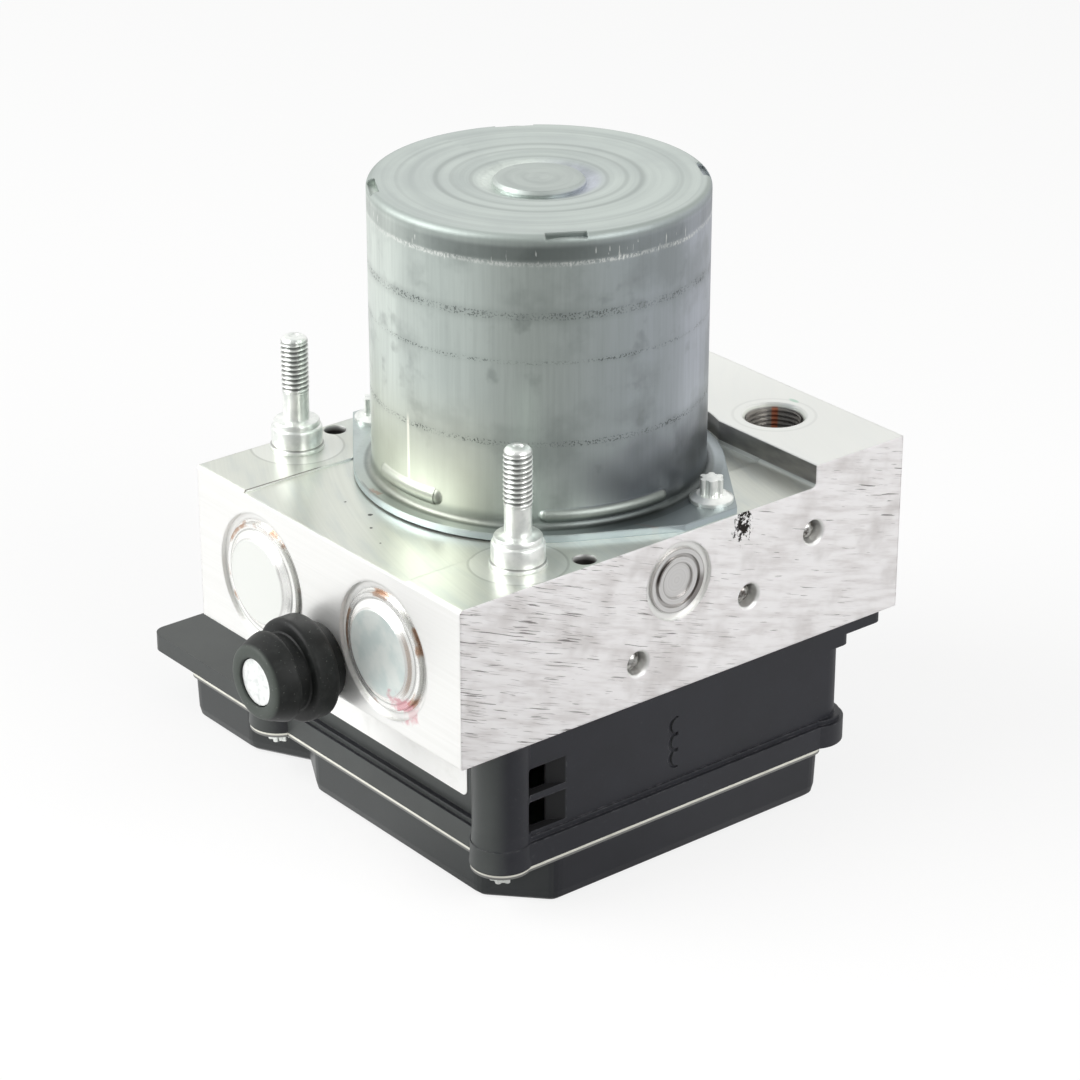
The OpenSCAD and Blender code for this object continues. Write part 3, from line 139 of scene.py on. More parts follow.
class Finish(Tree):
    """A material that is laid out in the shared frame, in millimetres."""

    def __init__(self, name, colour, roughness, metallic=0.0, **constants):
        self.material = bpy.data.materials.new(name)
        self.material.use_nodes = True
        super().__init__(self.material.node_tree)
        self.shader = self.nodes["Principled BSDF"]
        self.feed(self.shader.inputs["Base Color"], colour)
        self.feed(self.shader.inputs["Roughness"], roughness)
        self.feed(self.shader.inputs["Metallic"], metallic)
        for socket, value in constants.items():
            self.feed(self.shader.inputs[socket.replace("_", " ")], value)
        in_metres = self.add("TexCoord", out="Object")
        self.place = self.add("VectorMath", {"operation": "SCALE"}, {0: in_metres, "Scale": metre})
        self.x, self.y, self.z = self.parts(self.place)

    def point(self, x, y, z):
        return self.add("CombineXYZ", sockets={0: x, 1: y, 2: z})

    def noise(self, scale, detail=2.0, at=None, rough=0.5):
        return self.add("TexNoise", sockets={"Vector": at or self.place, "Scale": scale, "Detail": detail,
                                             "Roughness": rough})

    def facing(self, axis):
        """How far a face looks along an axis of the frame, from -1 to 1."""
        return self.parts(self.add("NewGeometry", out="Normal"))["xyz".index(axis)]

    def away(self, a, b, from_a, from_b):
        """The distance in a plane from a line that stands on it."""
        return ((a - from_a) ** 2.0 + (b - from_b) ** 2.0) ** 0.5

    def nearest(self, a, b, places):
        """The distance in a plane from the nearer one of two places."""
        return self.maths("MINIMUM", self.away(a, b, *places[0]), self.away(a, b, *places[1]))

    def patch(self, a, b, place, reach):
        """Grows from 0 in the middle of an oval patch to 1 at its edge, and on."""
        return self.away((a - place[0]) / reach[0], (b - place[1]) / reach[1], 0.0, 0.0)

    def band(self, value, middle, half, soft):
        """A strip round a middle value, with soft edges."""
        return self.fade(abs(value - middle), half + soft, half)

    def rounding(self, radius):
        return self.add("Bevel", {"samples": 2}, {"Radius": radius / metre})

    def worn(self, radius):
        """Where edges are, within a radius of them."""
        soft = self.rounding(radius)
        flat = self.add("NewGeometry", out="Normal")
        return 1.0 - self.add("VectorMath", {"operation": "DOT_PRODUCT"}, {0: soft, 1: flat}, out="Value")

    def finish_with(self, colour, roughness, height, depth, edge):
        """Joins colour, roughness and a relief of some depth to the shader, and rounds edges to a radius."""
        relief = self.add("Bump", sockets={"Height": height, "Distance": depth / metre, "Strength": 1.0,
                                           "Normal": self.rounding(edge)})
        for name, value in (("Base Color", colour), ("Roughness", roughness), ("Normal", relief)):
            self.feed(self.shader.inputs[name], value)

    def two_tone(self, pattern, first, second, roughness, spread, depth, edge):
        """One pattern mixes two colours, spreads the roughness and makes the relief."""
        colour = self.mixed(pattern, first, second)
        self.finish_with(colour, roughness + pattern * spread, pattern, depth, edge)


def dress(finish, *names):
    """Gives a finish to pieces that the frame brings."""
    for name in names:
        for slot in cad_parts[name].material_slots:
            slot.material = finish.material


side_face = 43.5
front_face = -54.0
back_face = 60.0
block_top = 71.6
rail_top = 76.3
stud_places = [(34.0, -32.6), (-38.6, -32.6)]
port_places = [(18.9, 47.0), (-18.9, 47.0)]
cap_places = [(18.9, 53.7), (-21.7, 53.7)]
wheel_xs = (-30.0, -10.0, 10.0, 30.0)
wheel_z = 50.0
motor_screw = (40.6, -21.6)
saw_centre = (279.0, 845.0)
saw_radius = 840.0
mill_centre = (60.0, 120.0)
return_centre = (-120.0, 60.0)
rail_foot = (35.6, 39.2)
milled_line = -26.9
# Directions over the ground that lead back and left in the photograph
backward = (-0.778, 0.629)
leftward = (-0.629, -0.778)

block = Finish("sawn_and_milled_aluminium", "f4f4f1", 0.36, 0.75)

# Saw marks of the side faces
on_side = block.fade(abs(block.x), side_face - 0.12, side_face - 0.02)
saw_reach = block.away(block.y, block.z, *saw_centre)
saw_along = block.maths("ARCTAN2", block.y - saw_centre[0], saw_centre[1] - block.z) * saw_radius
waver = block.noise(0.12, 2.0) * 2.0
strokes = block.noise(1.0, 2.0, block.point(saw_reach * 2.9 + waver, saw_along * 0.11, block.x * 0.05), 0.5)
hair_strokes = block.noise(1.0, 2.0, block.point(saw_reach * 4.6 + waver, saw_along * 0.12, 7.0), 0.5)
sheen = block.noise(1.0, 3.0, block.point(saw_reach * 0.7, saw_along * 0.09, 3.0), 0.6)
patches = block.noise(0.05, 3.0)
crowded = block.fade(block.y, 30.0, -30.0) * 0.055 - 0.025
stroke_mask = block.fade(strokes + (patches - 0.5) * 0.26 + crowded, 0.674, 0.7)
hair_mask = block.fade(hair_strokes + (patches - 0.5) * 0.25 + crowded, 0.655, 0.7)
cut_colour = block.mixed(block.fade(sheen, 0.38, 0.8), "fbf9f9", "e3dfde")
cut_colour = block.mixed(block.fade(block.noise(0.13, 3.0), 0.45, 0.75) * 0.6, cut_colour, "cfcac8")
cut_colour = block.mixed(hair_mask * 0.55, cut_colour, "8d8886")
cut_colour = block.mixed(stroke_mask * 0.75, cut_colour, "5c5653")

# Drawn front and back faces, and the milled top, which is brighter on the rail
on_top = block.fade(block.z, block_top - 0.5, block_top - 0.44) * block.fade(block.facing("z"), 0.2, 0.5)
drawn = block.noise(1.0, 3.0, block.point(block.x * 0.03, block.y * 0.03, block.z * 1.6), 0.6)
plain_colour = block.mixed(drawn, "f6f6f4", "ebebe8")
mill_reach = block.away(block.x, block.y, *mill_centre)
mill = block.noise(1.0, 3.0, block.point(mill_reach * 1.6, block.y * 0.02, 0.0), 0.7)
mill_return = block.away(block.x, block.y, *return_centre)
glance = block.noise(1.0, 3.0, block.point(mill_reach * 0.3, mill_return * 0.06, 0.0))
milled_colour = block.mixed(mill, "dde0d7", "cccfc6")
milled_colour = block.mixed(block.fade(glance, 0.42, 0.72) * 0.6, milled_colour, "c3c9c5")
on_rail = block.fade(block.z, rail_top - 0.5, rail_top - 0.1)
milled_colour = block.mixed(on_rail * 0.8, milled_colour, "f1f2ee")
colour = block.mixed(on_top, plain_colour, milled_colour)
colour = block.mixed(on_side, colour, cut_colour)

# Painted shade on the wall where the rail rises, in the holes round the motor's screws and inside the ports'
# bores, spot faces under the studs, and a painted glint on the far wall of each brake pipe port
# Painted shade on the wall between the top and the rail
rail_wall_shade = block.fade(block.y, rail_foot[0], rail_foot[0] + 0.35)
rail_wall_shade = rail_wall_shade * block.fade(block.y, rail_foot[1], rail_foot[1] - 0.3)
rail_wall_shade = rail_wall_shade * block.band(block.z, (block_top + rail_top) / 2 + 0.25, 1.9, 0.15)
wall_cloud = block.noise(0.1, 3.0, block.point(block.x, block.y, block.z * 3.0))
wall_shade_colour = block.mixed(block.fade(wall_cloud, 0.35, 0.65), "5e5853", "948e87")
colour = block.mixed(rail_wall_shade * (1.0 - on_side) * 0.8, colour, wall_shade_colour)
# Painted shade down the walls of the holes round the motor's screws
for side in (-1.0, 1.0):
    reach = block.away(block.x, block.y, side * motor_screw[0], motor_screw[1])
    screw_hole_shade = block.fade(reach, 2.6, 2.4) * block.fade(block.z, block_top - 0.3, block_top - 1.4)
    colour = block.mixed(screw_hole_shade * 0.9, colour, "2c2623")
for x, y in stud_places:
    reach = block.away(block.x, block.y, x, y)
    colour = block.mixed(block.band(reach, 9.6, 0.1, 0.3) * on_top * 0.3, colour, "8e908c")
    colour = block.mixed(block.fade(reach, 9.5, 9.2) * on_top * 0.3, colour, "f4f5f2")
for x, y in port_places:
    reach = block.away(block.x, block.y, x, y)
    colour = block.mixed(block.band(reach, 8.6, 0.1, 0.4) * on_top * 0.14, colour, "9a9c98")
    # Painted shade inside the bore
    bore_shade = block.fade(reach, 6.3, 6.0) * block.fade(block.z, rail_top - 0.3, rail_top - 1.1)
    colour = block.mixed(bore_shade * 0.75, colour, "4d403a")
    # A painted copper-coloured glint on the far wall of the bore
    far_wall = (block.x - x) * backward[0] + (block.y - y) * backward[1]
    sideways = (block.x - x) * -leftward[0] + (block.y - y) * -leftward[1]
    copper_glint = bore_shade * block.fade(far_wall, 2.5, 3.5) * block.band(sideways, 0.5, 0.4, 0.5)
    colour = block.mixed(copper_glint * 0.8, colour, "b0603a")
# Painted shade inside the bores of the wheel ports
for x in wheel_xs:
    reach = block.away(block.x, block.z, x, wheel_z)
    bore_shade = block.fade(reach, 5.3, 5.0) * block.fade(block.y, back_face - 0.8, back_face - 1.6)
    bore_shade = bore_shade * block.fade(block.y, back_face - 20.0, back_face - 19.0)
    colour = block.mixed(bore_shade * 0.75, colour, "4d403a")

# Marks of assembly: a green dot, the cutter's edge, chips, a stain under the rail and a daub of red paint
green_dot = block.patch(block.x, block.y, (15.9, 55.3), (1.6, 0.7))
colour = block.mixed(block.fade(green_dot, 1.1, 0.5) * on_top * 0.6, colour, "9fc9b2")
cutter_edge = block.band(block.x, milled_line, 0.14, 0.14) * block.fade(block.y, -34.0, -36.5) * on_top
colour = block.mixed(cutter_edge * 0.8, colour, "4b423c")
for x, y, size in ((-2.5, -40.7, 0.5), (2.6, -44.2, 0.35), (-10.6, -40.9, 0.25), (9.4, -47.0, 0.22)):
    ragged = block.away(block.x, block.y, x, y) + block.noise(2.0, 2.0) * 0.4
    speck = block.fade(ragged, size + 0.3, size + 0.1)
    colour = block.mixed(speck * on_top * 0.9, colour, "2a2826")
pits = block.noise(0.62, 5.0, rough=0.72)
stain_reach = block.patch(block.y, block.z, (16.4, 69.2), (2.5, 4.4))
stain = block.fade(pits - block.maths("MAXIMUM", stain_reach - 0.5, 0.0) * 0.2, 0.43, 0.49) * on_side
stain = stain * block.fade(stain_reach, 1.35, 1.0) * (block.x > 0.0)
colour = block.mixed(stain, colour, "2b2624")
daub_reach = block.patch(block.x, block.z, (26.6, 43.6), (3.0, 2.2))
daub_turn = block.noise(0.5, 3.0) - daub_reach * 0.3
daub = block.fade(daub_turn, 0.1, 0.4) * block.fade(block.y, front_face + 1.6, front_face + 0.2)
colour = block.mixed(daub * 0.55, colour, "d2697a")
roughness = 0.38 + on_side * 0.06 + stroke_mask * on_side * 0.15
roughness = roughness - on_top * 0.1 + mill * on_top * 0.08 + stain * 0.3
height = on_side * (stroke_mask * -0.5 + sheen * 0.3) + drawn * 0.08 + mill * on_top * 0.1 - stain * 0.8
block.finish_with(colour, roughness, height, 0.05, 0.7)
dress(block, "valve_block")


# Port threads: cut in the two brake pipe ports of the rail and the four wheel ports of the back face.
# They are the block's own metal; here each is a sleeve of ridges inside its plain bore.
thread_pitch = 1.0
port_thread_depth = 0.6


def set_at(x, y, z, tilt=0):
    """A place in millimetres whose own axis is turned about X by some degrees."""
    turned_by = Matrix.Rotation(math.radians(tilt), 4, "X")
    return Matrix.Translation((x / metre, y / metre, z / metre)) @ turned_by


def ring_of(mesh, place, radii, z):
    """A ring of corners at a height over a place, with a radius of its own for each corner."""
    ring = []
    for i, radius in enumerate(radii):
        turn = 2 * math.pi * i / len(radii)
        corner = Vector((radius * math.cos(turn) / metre, radius * math.sin(turn) / metre, z / metre))
        ring.append(mesh.verts.new(place @ corner))
    return ring


def join_rings(mesh, rings):
    for low, high in zip(rings[:-1], rings[1:]):
        for i in range(len(low)):
            j = (i + 1) % len(low)
            mesh.faces.new((low[i], low[j], high[j], high[i]))


def thread_wave(turns):
    """Goes from 0 at a thread's root to 1 at its crest and back, once in each turn."""
    return abs(2.0 * (turns % 1.0) - 1.0)


def port_thread(mesh, place, radius, length, around=48, rows_per_turn=6):
    rows = int(length / thread_pitch * rows_per_turn)
    rings = []
    for row in range(rows + 1):
        z = -length * row / rows
        waves = [thread_wave(z / thread_pitch + i / around) for i in range(around)]
        rings.append(ring_of(mesh, place, [radius - port_thread_depth * wave for wave in waves], z))
    join_rings(mesh, rings)


def placed(name, mesh, finish, body="module", sharp_from=38):
    """Makes a piece of a mesh, with a finish. It rides on a body, if one is named."""
    for face in mesh.faces:
        face.smooth = True
    data = bpy.data.meshes.new(name)
    mesh.to_mesh(data)
    mesh.free()
    data.set_sharp_from_angle(angle=math.radians(sharp_from))
    data.materials.append(finish.material)
    piece = bpy.data.objects.new(name, data)
    bpy.context.scene.collection.objects.link(piece)
    if body:
        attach(piece, body)
    return piece


threads = bmesh.new()
for x, y in port_places:
    port_thread(threads, set_at(x, y, rail_top - 0.9), radius=5.99, length=12.5)
for x in wheel_xs:
    port_thread(threads, set_at(x, back_face - 1.0, wheel_z, -90), radius=4.99, length=10.5)
placed("port_threads", threads, block)


# Closures of the drillings: steel balls pressed into the cross drillings, and turned aluminium plugs
# staked into the pump's bores. Both are bright where the tool has rubbed them.
ball = Finish("pressed_steel_balls", "b4b3b1", 0.28, 1.0)
dull = ball.noise(0.9, 3.0)
ball_shade = ball.mixed(ball.fade(dull, 0.35, 0.65), "6f6a66", "d2d2cf")
ball.finish_with(ball_shade, 0.2 + dull * 0.2, dull, 0.04, 0.1)
dress(ball, "ball_plugs")

pump_axis = (0.0, 61.6)
plug_centre, plug_groove, plug_mouth = 3.75, 5.35, 6.75
plug = Finish("turned_plug", "e2e1e0", 0.3, 0.85)
plug_reach = plug.away(plug.y, plug.z, *pump_axis)
plug_turn = plug.maths("ARCTAN2", plug.z - pump_axis[1], plug.y - pump_axis[0])
turning = plug.noise(1.0, 2.0, plug.point(plug_reach * 2.6, 0.0, 0.0))
plug_colour = plug.mixed(turning, "f1f0ef", "cfcdcb")
groove = plug.band(plug_reach, plug_groove, 0.3, 0.2) + plug.band(plug_reach, plug_mouth, 0.1, 0.15)
plug_colour = plug.mixed(groove * 0.4, plug_colour, "8a8480")
plug_colour = plug.mixed(plug.band(plug_reach, plug_centre, 0.1, 0.2) * 0.4, plug_colour, "8c8783")
upper_left = plug.band(plug_turn, 2.5, 0.35, 0.4) * plug.band(plug_reach, 5.3, 0.55, 0.2)
lower_right = plug.band(plug_turn, -0.6, 0.35, 0.4) * plug.band(plug_reach, 6.1, 0.5, 0.3)
plug_colour = plug.mixed((upper_left + lower_right) * 0.7, plug_colour, "5c534e")
plug.finish_with(plug_colour, 0.24 + turning * 0.16, turning, 0.03, 0.2)
dress(plug, "pump_plug_right", "pump_plug_left")


# Reservoir caps: pressed steel cups with a raised satin disc, set in stepped mouths of the front face and
# staked over all round. The wall round the disc is polished, and a little rust sits in the groove.
cap_disc, cap_step, cap_mouth = 8.95, 10.7, 11.9
cap = Finish("pressed_cap", "eef0ee", 0.3, 0.85)
cap_reach = cap.nearest(cap.x, cap.z, cap_places)
brushed = cap.noise(1.0, 3.0, cap.point(cap_reach * 3.0, cap.x * 0.1, cap.z * 0.1))
blotch = cap.noise(0.22, 4.0)
disc = cap.mixed(cap.fade(blotch, 0.35, 0.65), "d9e4e1", "eaf0ec")
disc = cap.mixed(cap.fade(cap.x, 0.0, -10.0), disc, "eceeea")
cap_colour = cap.mixed(cap.fade(cap_reach, cap_disc, cap_disc - 0.4), "f7f7f4", disc)
for radius, strength in ((cap_disc, 0.3), (cap_step, 0.5), (cap_mouth, 0.35)):
    cap_colour = cap.mixed(cap.band(cap_reach, radius, 0.08, 0.22) * strength, cap_colour, "8b8c88")
rust_side = cap.fade(cap.noise(0.16, 3.0), 0.5, 0.62) * cap.band(cap_reach, cap_mouth, 0.5, 0.4)
cap_colour = cap.mixed(rust_side * 0.7, cap_colour, "a5713f")
shoulder = cap.band(cap_reach, 9.6, 0.25, 0.3) * cap.fade(cap.x - cap_places[0][0], 6.0, 9.0)
cap_colour = cap.mixed(shoulder * 0.6, cap_colour, "8d6f55")
paint_reach = cap.patch(cap.x, cap.z, (25.4, 44.3), (3.2, 2.0))
paint = cap.fade(cap.noise(0.5, 3.0) - paint_reach * 0.3, 0.1, 0.35)
cap_colour = cap.mixed(paint * 0.6, cap_colour, "cf6478")
cap_rough = 0.22 + cap.fade(cap_reach, cap_disc - 0.05, cap_disc - 0.45) * 0.18 + brushed * 0.1
cap.finish_with(cap_colour, cap_rough, brushed, 0.02, 0.3)
dress(cap, "reservoir_cap_right", "reservoir_cap_left")


# Pistons of pump and reservoirs: turned steel pins and cups that slide in the block, in brake fluid that
# keeps them clean. Each has a coil spring of drawn wire behind it, and so has each valve's armature.
turned = Finish("turned_steel", "a9abac", 0.25, 1.0)
lathe_lines = turned.noise(1.0, 2.0, turned.point(turned.x * 3.0, turned.y * 3.0, turned.z * 3.0))
turned.two_tone(lathe_lines, "b9bbbc", "94979a", 0.18, 0.18, 0.02, 0.15)
dress(turned, "pump_piston_right", "pump_piston_left")

grey_steel = Finish("plain_grey_steel", "5e6062", 0.42, 1.0)
mottle = grey_steel.noise(0.8, 3.0)
grey_steel.two_tone(mottle, "4d4f51", "6e7072", 0.35, 0.2, 0.03, 0.2)
dress(grey_steel, "reservoir_piston_right", "reservoir_piston_left", "armature_core")

wire_steel = Finish("spring_wire", "7b7c7d", 0.32, 1.0)
drawing = wire_steel.noise(2.5, 2.0)
wire_steel.two_tone(drawing, "6a6b6c", "909192", 0.25, 0.2, 0.01, 0.05)
dress(wire_steel, "brush_springs")


def spring(name, foot, along, length, radius, wire, turns, node, steps_per_turn=20, around=8):
    """A coil of round wire, with its foot on the block."""
    coil = bmesh.new()
    steps = int(turns * steps_per_turn)
    turned_to = Vector(along).to_track_quat("Z", "Y").to_matrix()
    loops = []
    for i in range(steps + 1):
        turn = 2 * math.pi * turns * i / steps
        rise = wire + (length - 2 * wire) * i / steps
        loop = []
        for j in range(around):
            bend = 2 * math.pi * j / around
            reach = radius + wire * math.cos(bend)
            point = Vector((reach * math.cos(turn), reach * math.sin(turn), rise + wire * math.sin(bend)))
            loop.append(coil.verts.new((Vector(foot) + turned_to @ point) / metre))
        loops.append(loop)
    for low, high in zip(loops[:-1], loops[1:]):
        for j in range(around):
            k = (j + 1) % around
            coil.faces.new((low[j], high[j], high[k], low[k]))
    coil.faces.new(loops[0])
    coil.faces.new(loops[-1][::-1])
    piece = placed(name, coil, wire_steel, None)
    [v / metre for v in foot]
    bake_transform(piece)
    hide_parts(node)


pump_seat, reservoir_seat = 38.38, -52.8
inlet_row, inlet_seat = 32.0, 37.35
outlet_row, outlet_seat = 12.0, 24.95
for side, sign, cap_x in (("right", 1.0, cap_places[0][0]), ("left", -1.0, cap_places[1][0])):
    spring("pump_coil_" + side, (sign * pump_seat, *pump_axis), (-sign, 0.0, 0.0), length=8.86,
           radius=2.74, wire=0.4, turns=5.0, node="pump_spring_" + side)
    spring("reservoir_coil_" + side, (cap_x, reservoir_seat, cap_places[0][1]), (0.0, 1.0, 0.0),
           length=20.08, radius=8.0, wire=0.75, turns=6.5,
           node="reservoir_spring_" + side)
for number, x in enumerate(wheel_xs, 1):
    spring("inlet_coil_%d" % number, (x, inlet_row, inlet_seat), (0.0, 0.0, -1.0), length=3.6,
           radius=2.5, wire=0.3, turns=3.0, node="inlet_springs")
    spring("outlet_coil_%d" % number, (x, outlet_row, outlet_seat), (0.0, 0.0, 1.0), length=3.35,
           radius=1.7, wire=0.25, turns=4.0, node="outlet_springs")


# Mounting studs: zinc-plated steel, screwed down onto a collar, with a rolled 6 mm thread above a plain
# shank. Each is turned here with its real thread, and stands in its hole in the block. The motor's and the
# control unit's screws have the same plating.
stud_thread = (12.4, 23.45)


def turn_profile(mesh, profile, place, around=48):
    """Turns points of radius and height round the axis of a place, and closes both ends."""
    rings = [ring_of(mesh, place, [radius] * around, z) for radius, z in profile]
    join_rings(mesh, rings)
    mesh.faces.new(list(reversed(rings[0])))
    mesh.faces.new(rings[-1])


def rolled_thread(mesh, place, radius, depth, low, high, around=40, rows_per_turn=8):
    """A thread that runs out into a slightly thinner shank at both ends."""
    rows = int((high - low) / thread_pitch * rows_per_turn)
    rings = []
    for row in range(rows + 1):
        z = low + (high - low) * row / rows
        cut = max(min(1.0, (z - low) / 1.0, (high - z) / 0.8), 0.0)
        outside = radius - 0.18 * (1.0 - cut)
        sinks = [(1.0 - thread_wave(z / thread_pitch - i / around)) ** 0.9 for i in range(around)]
        rings.append(ring_of(mesh, place, [outside - depth * cut * sink for sink in sinks], z))
    join_rings(mesh, rings)


zinc = Finish("zinc_plated_steel", "c6c9c6", 0.3, 0.8)
zinc_bloom = zinc.noise(0.45, 3.0, rough=0.5)
stud_reach = zinc.nearest(zinc.x, zinc.y, stud_places)
thread_low, thread_high = [block_top + level for level in stud_thread]
in_thread = zinc.fade(stud_reach, 2.85, 2.55) * zinc.fade(zinc.z, thread_low - 0.5, thread_low + 0.5)
in_thread = in_thread * zinc.fade(zinc.z, thread_high + 0.35, thread_high - 0.05)
zinc_colour = zinc.mixed(zinc.fade(zinc_bloom, 0.35, 0.7), "f6f8f4", "dfe3df")
zinc_colour = zinc.mixed(in_thread * 0.8, zinc_colour, "4f514e")
seat_line = zinc.band(zinc.z, block_top + 0.95, 0.12, 0.12) * zinc.fade(stud_reach, 5.7, 5.4)
zinc_colour = zinc.mixed(seat_line * 0.6, zinc_colour, "6a6a64")
zinc.finish_with(zinc_colour, 0.27 + zinc_bloom * 0.12, zinc_bloom, 0.015, 0.2)

studs = bmesh.new()
stud_profile = [(2.66, -12.0), (2.66, -0.05), (5.5, -0.02), (5.6, 0.12), (5.6, 0.72), (5.45, 0.9),
                (5.25, 0.92), (5.25, 4.55), (5.12, 4.8), (4.9, 4.95), (4.74, 5.0), (4.74, 5.95), (4.6, 6.15),
                (3.0, 6.2), (2.7, 6.4), (2.68, 11.9), (2.74, stud_thread[0])]
stud_tip = [(2.74, stud_thread[1]), (2.55, 23.8), (2.3, 24.1), (1.95, 24.3), (1.1, 24.4), (0.9, 24.2),
            (0.25, 24.1)]
for x, y in stud_places:
    at = set_at(x, y, block_top)
    turn_profile(studs, stud_profile, at)
    rolled_thread(studs, at, 2.92, 0.5, *stud_thread)
    turn_profile(studs, stud_tip, at)
studs_piece = placed("threaded_studs", studs, zinc)
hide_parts("mounting_studs")
dress(zinc, "mounting_studs", "motor_screws", "ecu_screws")


# Rubber mount: a moulded bush on a plated steel pin that screws into the front face. A bracket takes the
# barrel, and the cone in front of its groove keeps it there. The rubber is matt and a little dusty.
mount_axis = (-1.1, 44.2)
rubber = Finish("moulded_rubber", "1a1c1c", 0.5, Specular_IOR_Level=0.3)
dust = rubber.noise(0.35, 4.0, rough=0.6)
specks = rubber.fade(rubber.noise(2.2, 2.0), 0.68, 0.73)
rubber_colour = rubber.mixed(rubber.fade(dust, 0.45, 0.75) * 0.3, "101211", "333634")
# A painted sheen on the front face of the bush
painted_front_sheen = rubber.fade(rubber.y, front_face - 15.6, front_face - 16.5)
rubber_colour = rubber.mixed(painted_front_sheen * 0.85, rubber_colour, "4a504b")
rubber_colour = rubber.mixed(specks * 0.3, rubber_colour, "8a8d86")
rubber.finish_with(rubber_colour, 0.44 + dust * 0.16, dust, 0.02, 0.25)
bush = bmesh.new()
mount_length = 16.58
bush_profile = [(4.83, 0.0), (7.7, 0.0), (7.9, 0.25), (7.9, 2.7), (8.15, 3.1), (9.8, 3.25), (10.35, 3.38),
                (10.62, 3.75), (10.7, 4.3), (10.7, 7.3), (10.6, 7.85), (10.3, 8.22), (9.75, 8.4),
                (8.2, 8.42), (7.9, 8.7), (7.9, 11.0), (8.15, 11.25), (8.9, 11.32), (9.2, 11.5),
                (9.3, 11.85), (9.12, 12.5), (8.3, 14.7), (7.7, 16.0), (7.45, 16.4), (7.0, mount_length),
                (5.5, mount_length), (5.12, 16.4), (5.02, 16.0), (5.0, 14.5), (4.83, 14.3)]
bush_sides = 64
mount_at = set_at(mount_axis[0], front_face, mount_axis[1], 90)
rings = [ring_of(bush, mount_at, [radius] * bush_sides, z) for radius, z in bush_profile]
join_rings(bush, rings + rings[:1])
bush_piece = placed("moulded_bush", bush, rubber)
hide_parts("rubber_mount")
dress(rubber, "rubber_mount", "motor_seal", "housing_seal")

pin_face = Finish("plated_pin", "f4f7f4", 0.35, 0.6)
pin_mark = pin_face.noise(0.6, 4.0, rough=0.6)
pin_colour = pin_face.mixed(pin_face.fade(pin_mark, 0.4, 0.7), "f8faf8", "dde1df")
pin_face.finish_with(pin_colour, 0.32 + pin_mark * 0.2, pin_mark, 0.03, 0.3)
dress(pin_face, "mount_pin")


# Motor can: deep-drawn steel cup, zinc plated, with a flange that two screws clamp to the block.
# Drawing leaves streaks up its side, the chuck leaves a scratched ring under its rim, and bands of
# pressed specks run round it where the magnets' clips bear. Its end is dull, with turned rings.
can_radius = 33.9
can_top = 133.0
flange_z = 73.8
degrees = 57.2958
ring_levels = (116.8, 107.4, 90.6)
chuck_level = 127.3
flange_radius = 37.35
rust_streak = (39.0, -4.3)
can = Finish("drawn_can_steel", "aeb7b2", 0.34, 0.9)
can_reach = can.away(can.x, can.y, 0.0, 0.0)
can_turn = can.maths("ARCTAN2", can.y, can.x) * degrees

# Side: four tones of painted reflection round it, streaks and clouds, and a painted warm reflection and a
# painted dark reflection low down
on_end = can.fade(can.z, can_top - 0.9, can_top - 0.2)
streaks = can.noise(1.0, 3.0, can.point(can.x * 1.3, can.y * 1.3, can.z * 0.06), 0.6)
wide_streaks = can.noise(1.0, 2.0, can.point(can.x * 0.14, can.y * 0.14, can.z * 0.015))
cloud = can.noise(0.07, 4.0, rough=0.55)
spots = can.noise(0.16, 3.0, rough=0.5)
wander = can.noise(0.05, 2.0)
# Painted reflections: lighter to the left and at the back, darker towards the front, bluish to the right
side_colour = can.mixed(can.fade(can_turn, -70.0, -112.0), "b9c2bd", "dfe7e0")
side_colour = can.mixed(can.fade(can_turn, -45.0, 0.0), side_colour, "a6adb1")
side_colour = can.mixed(can.fade(can_turn, -10.0, 35.0), side_colour, "c4c9d2")
side_colour = can.mixed(can.fade(can_turn, 85.0, 160.0), side_colour, "dfe7e0")
side_colour = can.mixed(can.fade(wide_streaks, 0.35, 0.7) * 0.22, side_colour, "878f8d")
side_colour = can.mixed(can.fade(streaks, 0.35, 0.75) * 0.16, side_colour, "8a918e")
side_colour = can.mixed(can.fade(cloud, 0.48, 0.7) * 0.4, side_colour, "7d8482")
side_colour = can.mixed(can.fade(spots, 0.58, 0.74) * 0.35, side_colour, "6e7573")
# A painted warm reflection low on the left side
painted_warm_reflection = can.fade(can.z, 103.0, 82.0) * can.band(can_turn, -88.0, 22.0, 22.0)
side_colour = can.mixed(painted_warm_reflection * 0.7, side_colour, "c6c9b9")
# A painted dark reflection low on the right side
painted_dark_reflection = can.fade(can.z + (wander - 0.5) * 30.0, 91.0, 79.0) * can.band(can_turn, 14.0, 20.0, 30.0)
side_colour = can.mixed(painted_dark_reflection * 0.8, side_colour, "4a4e52")

# Bands of pressed specks, a band of painted shade under the rim, and the chuck's scratched ring
speck = can.noise(2.4, 2.0, rough=0.6)
broken = 0.35 + can.fade(can.noise(0.11, 3.0), 0.38, 0.62) * 0.65
for level, soft, strength in zip(ring_levels, (1.9, 1.2, 1.6), (0.3, 0.1, 0.12)):
    side_colour = can.mixed(can.band(can.z, level, 0.3, soft) * broken * strength, side_colour, "727977")
band_halves = (0.5, 0.1, 0.3)
upper, middle, lower = [can.band(can.z, level, half, 0.5) for level, half in zip(ring_levels, band_halves)]
bands = upper + middle + lower
side_colour = can.mixed(bands * broken * can.fade(speck, 0.54, 0.58) * 0.75, side_colour, "464c4a")
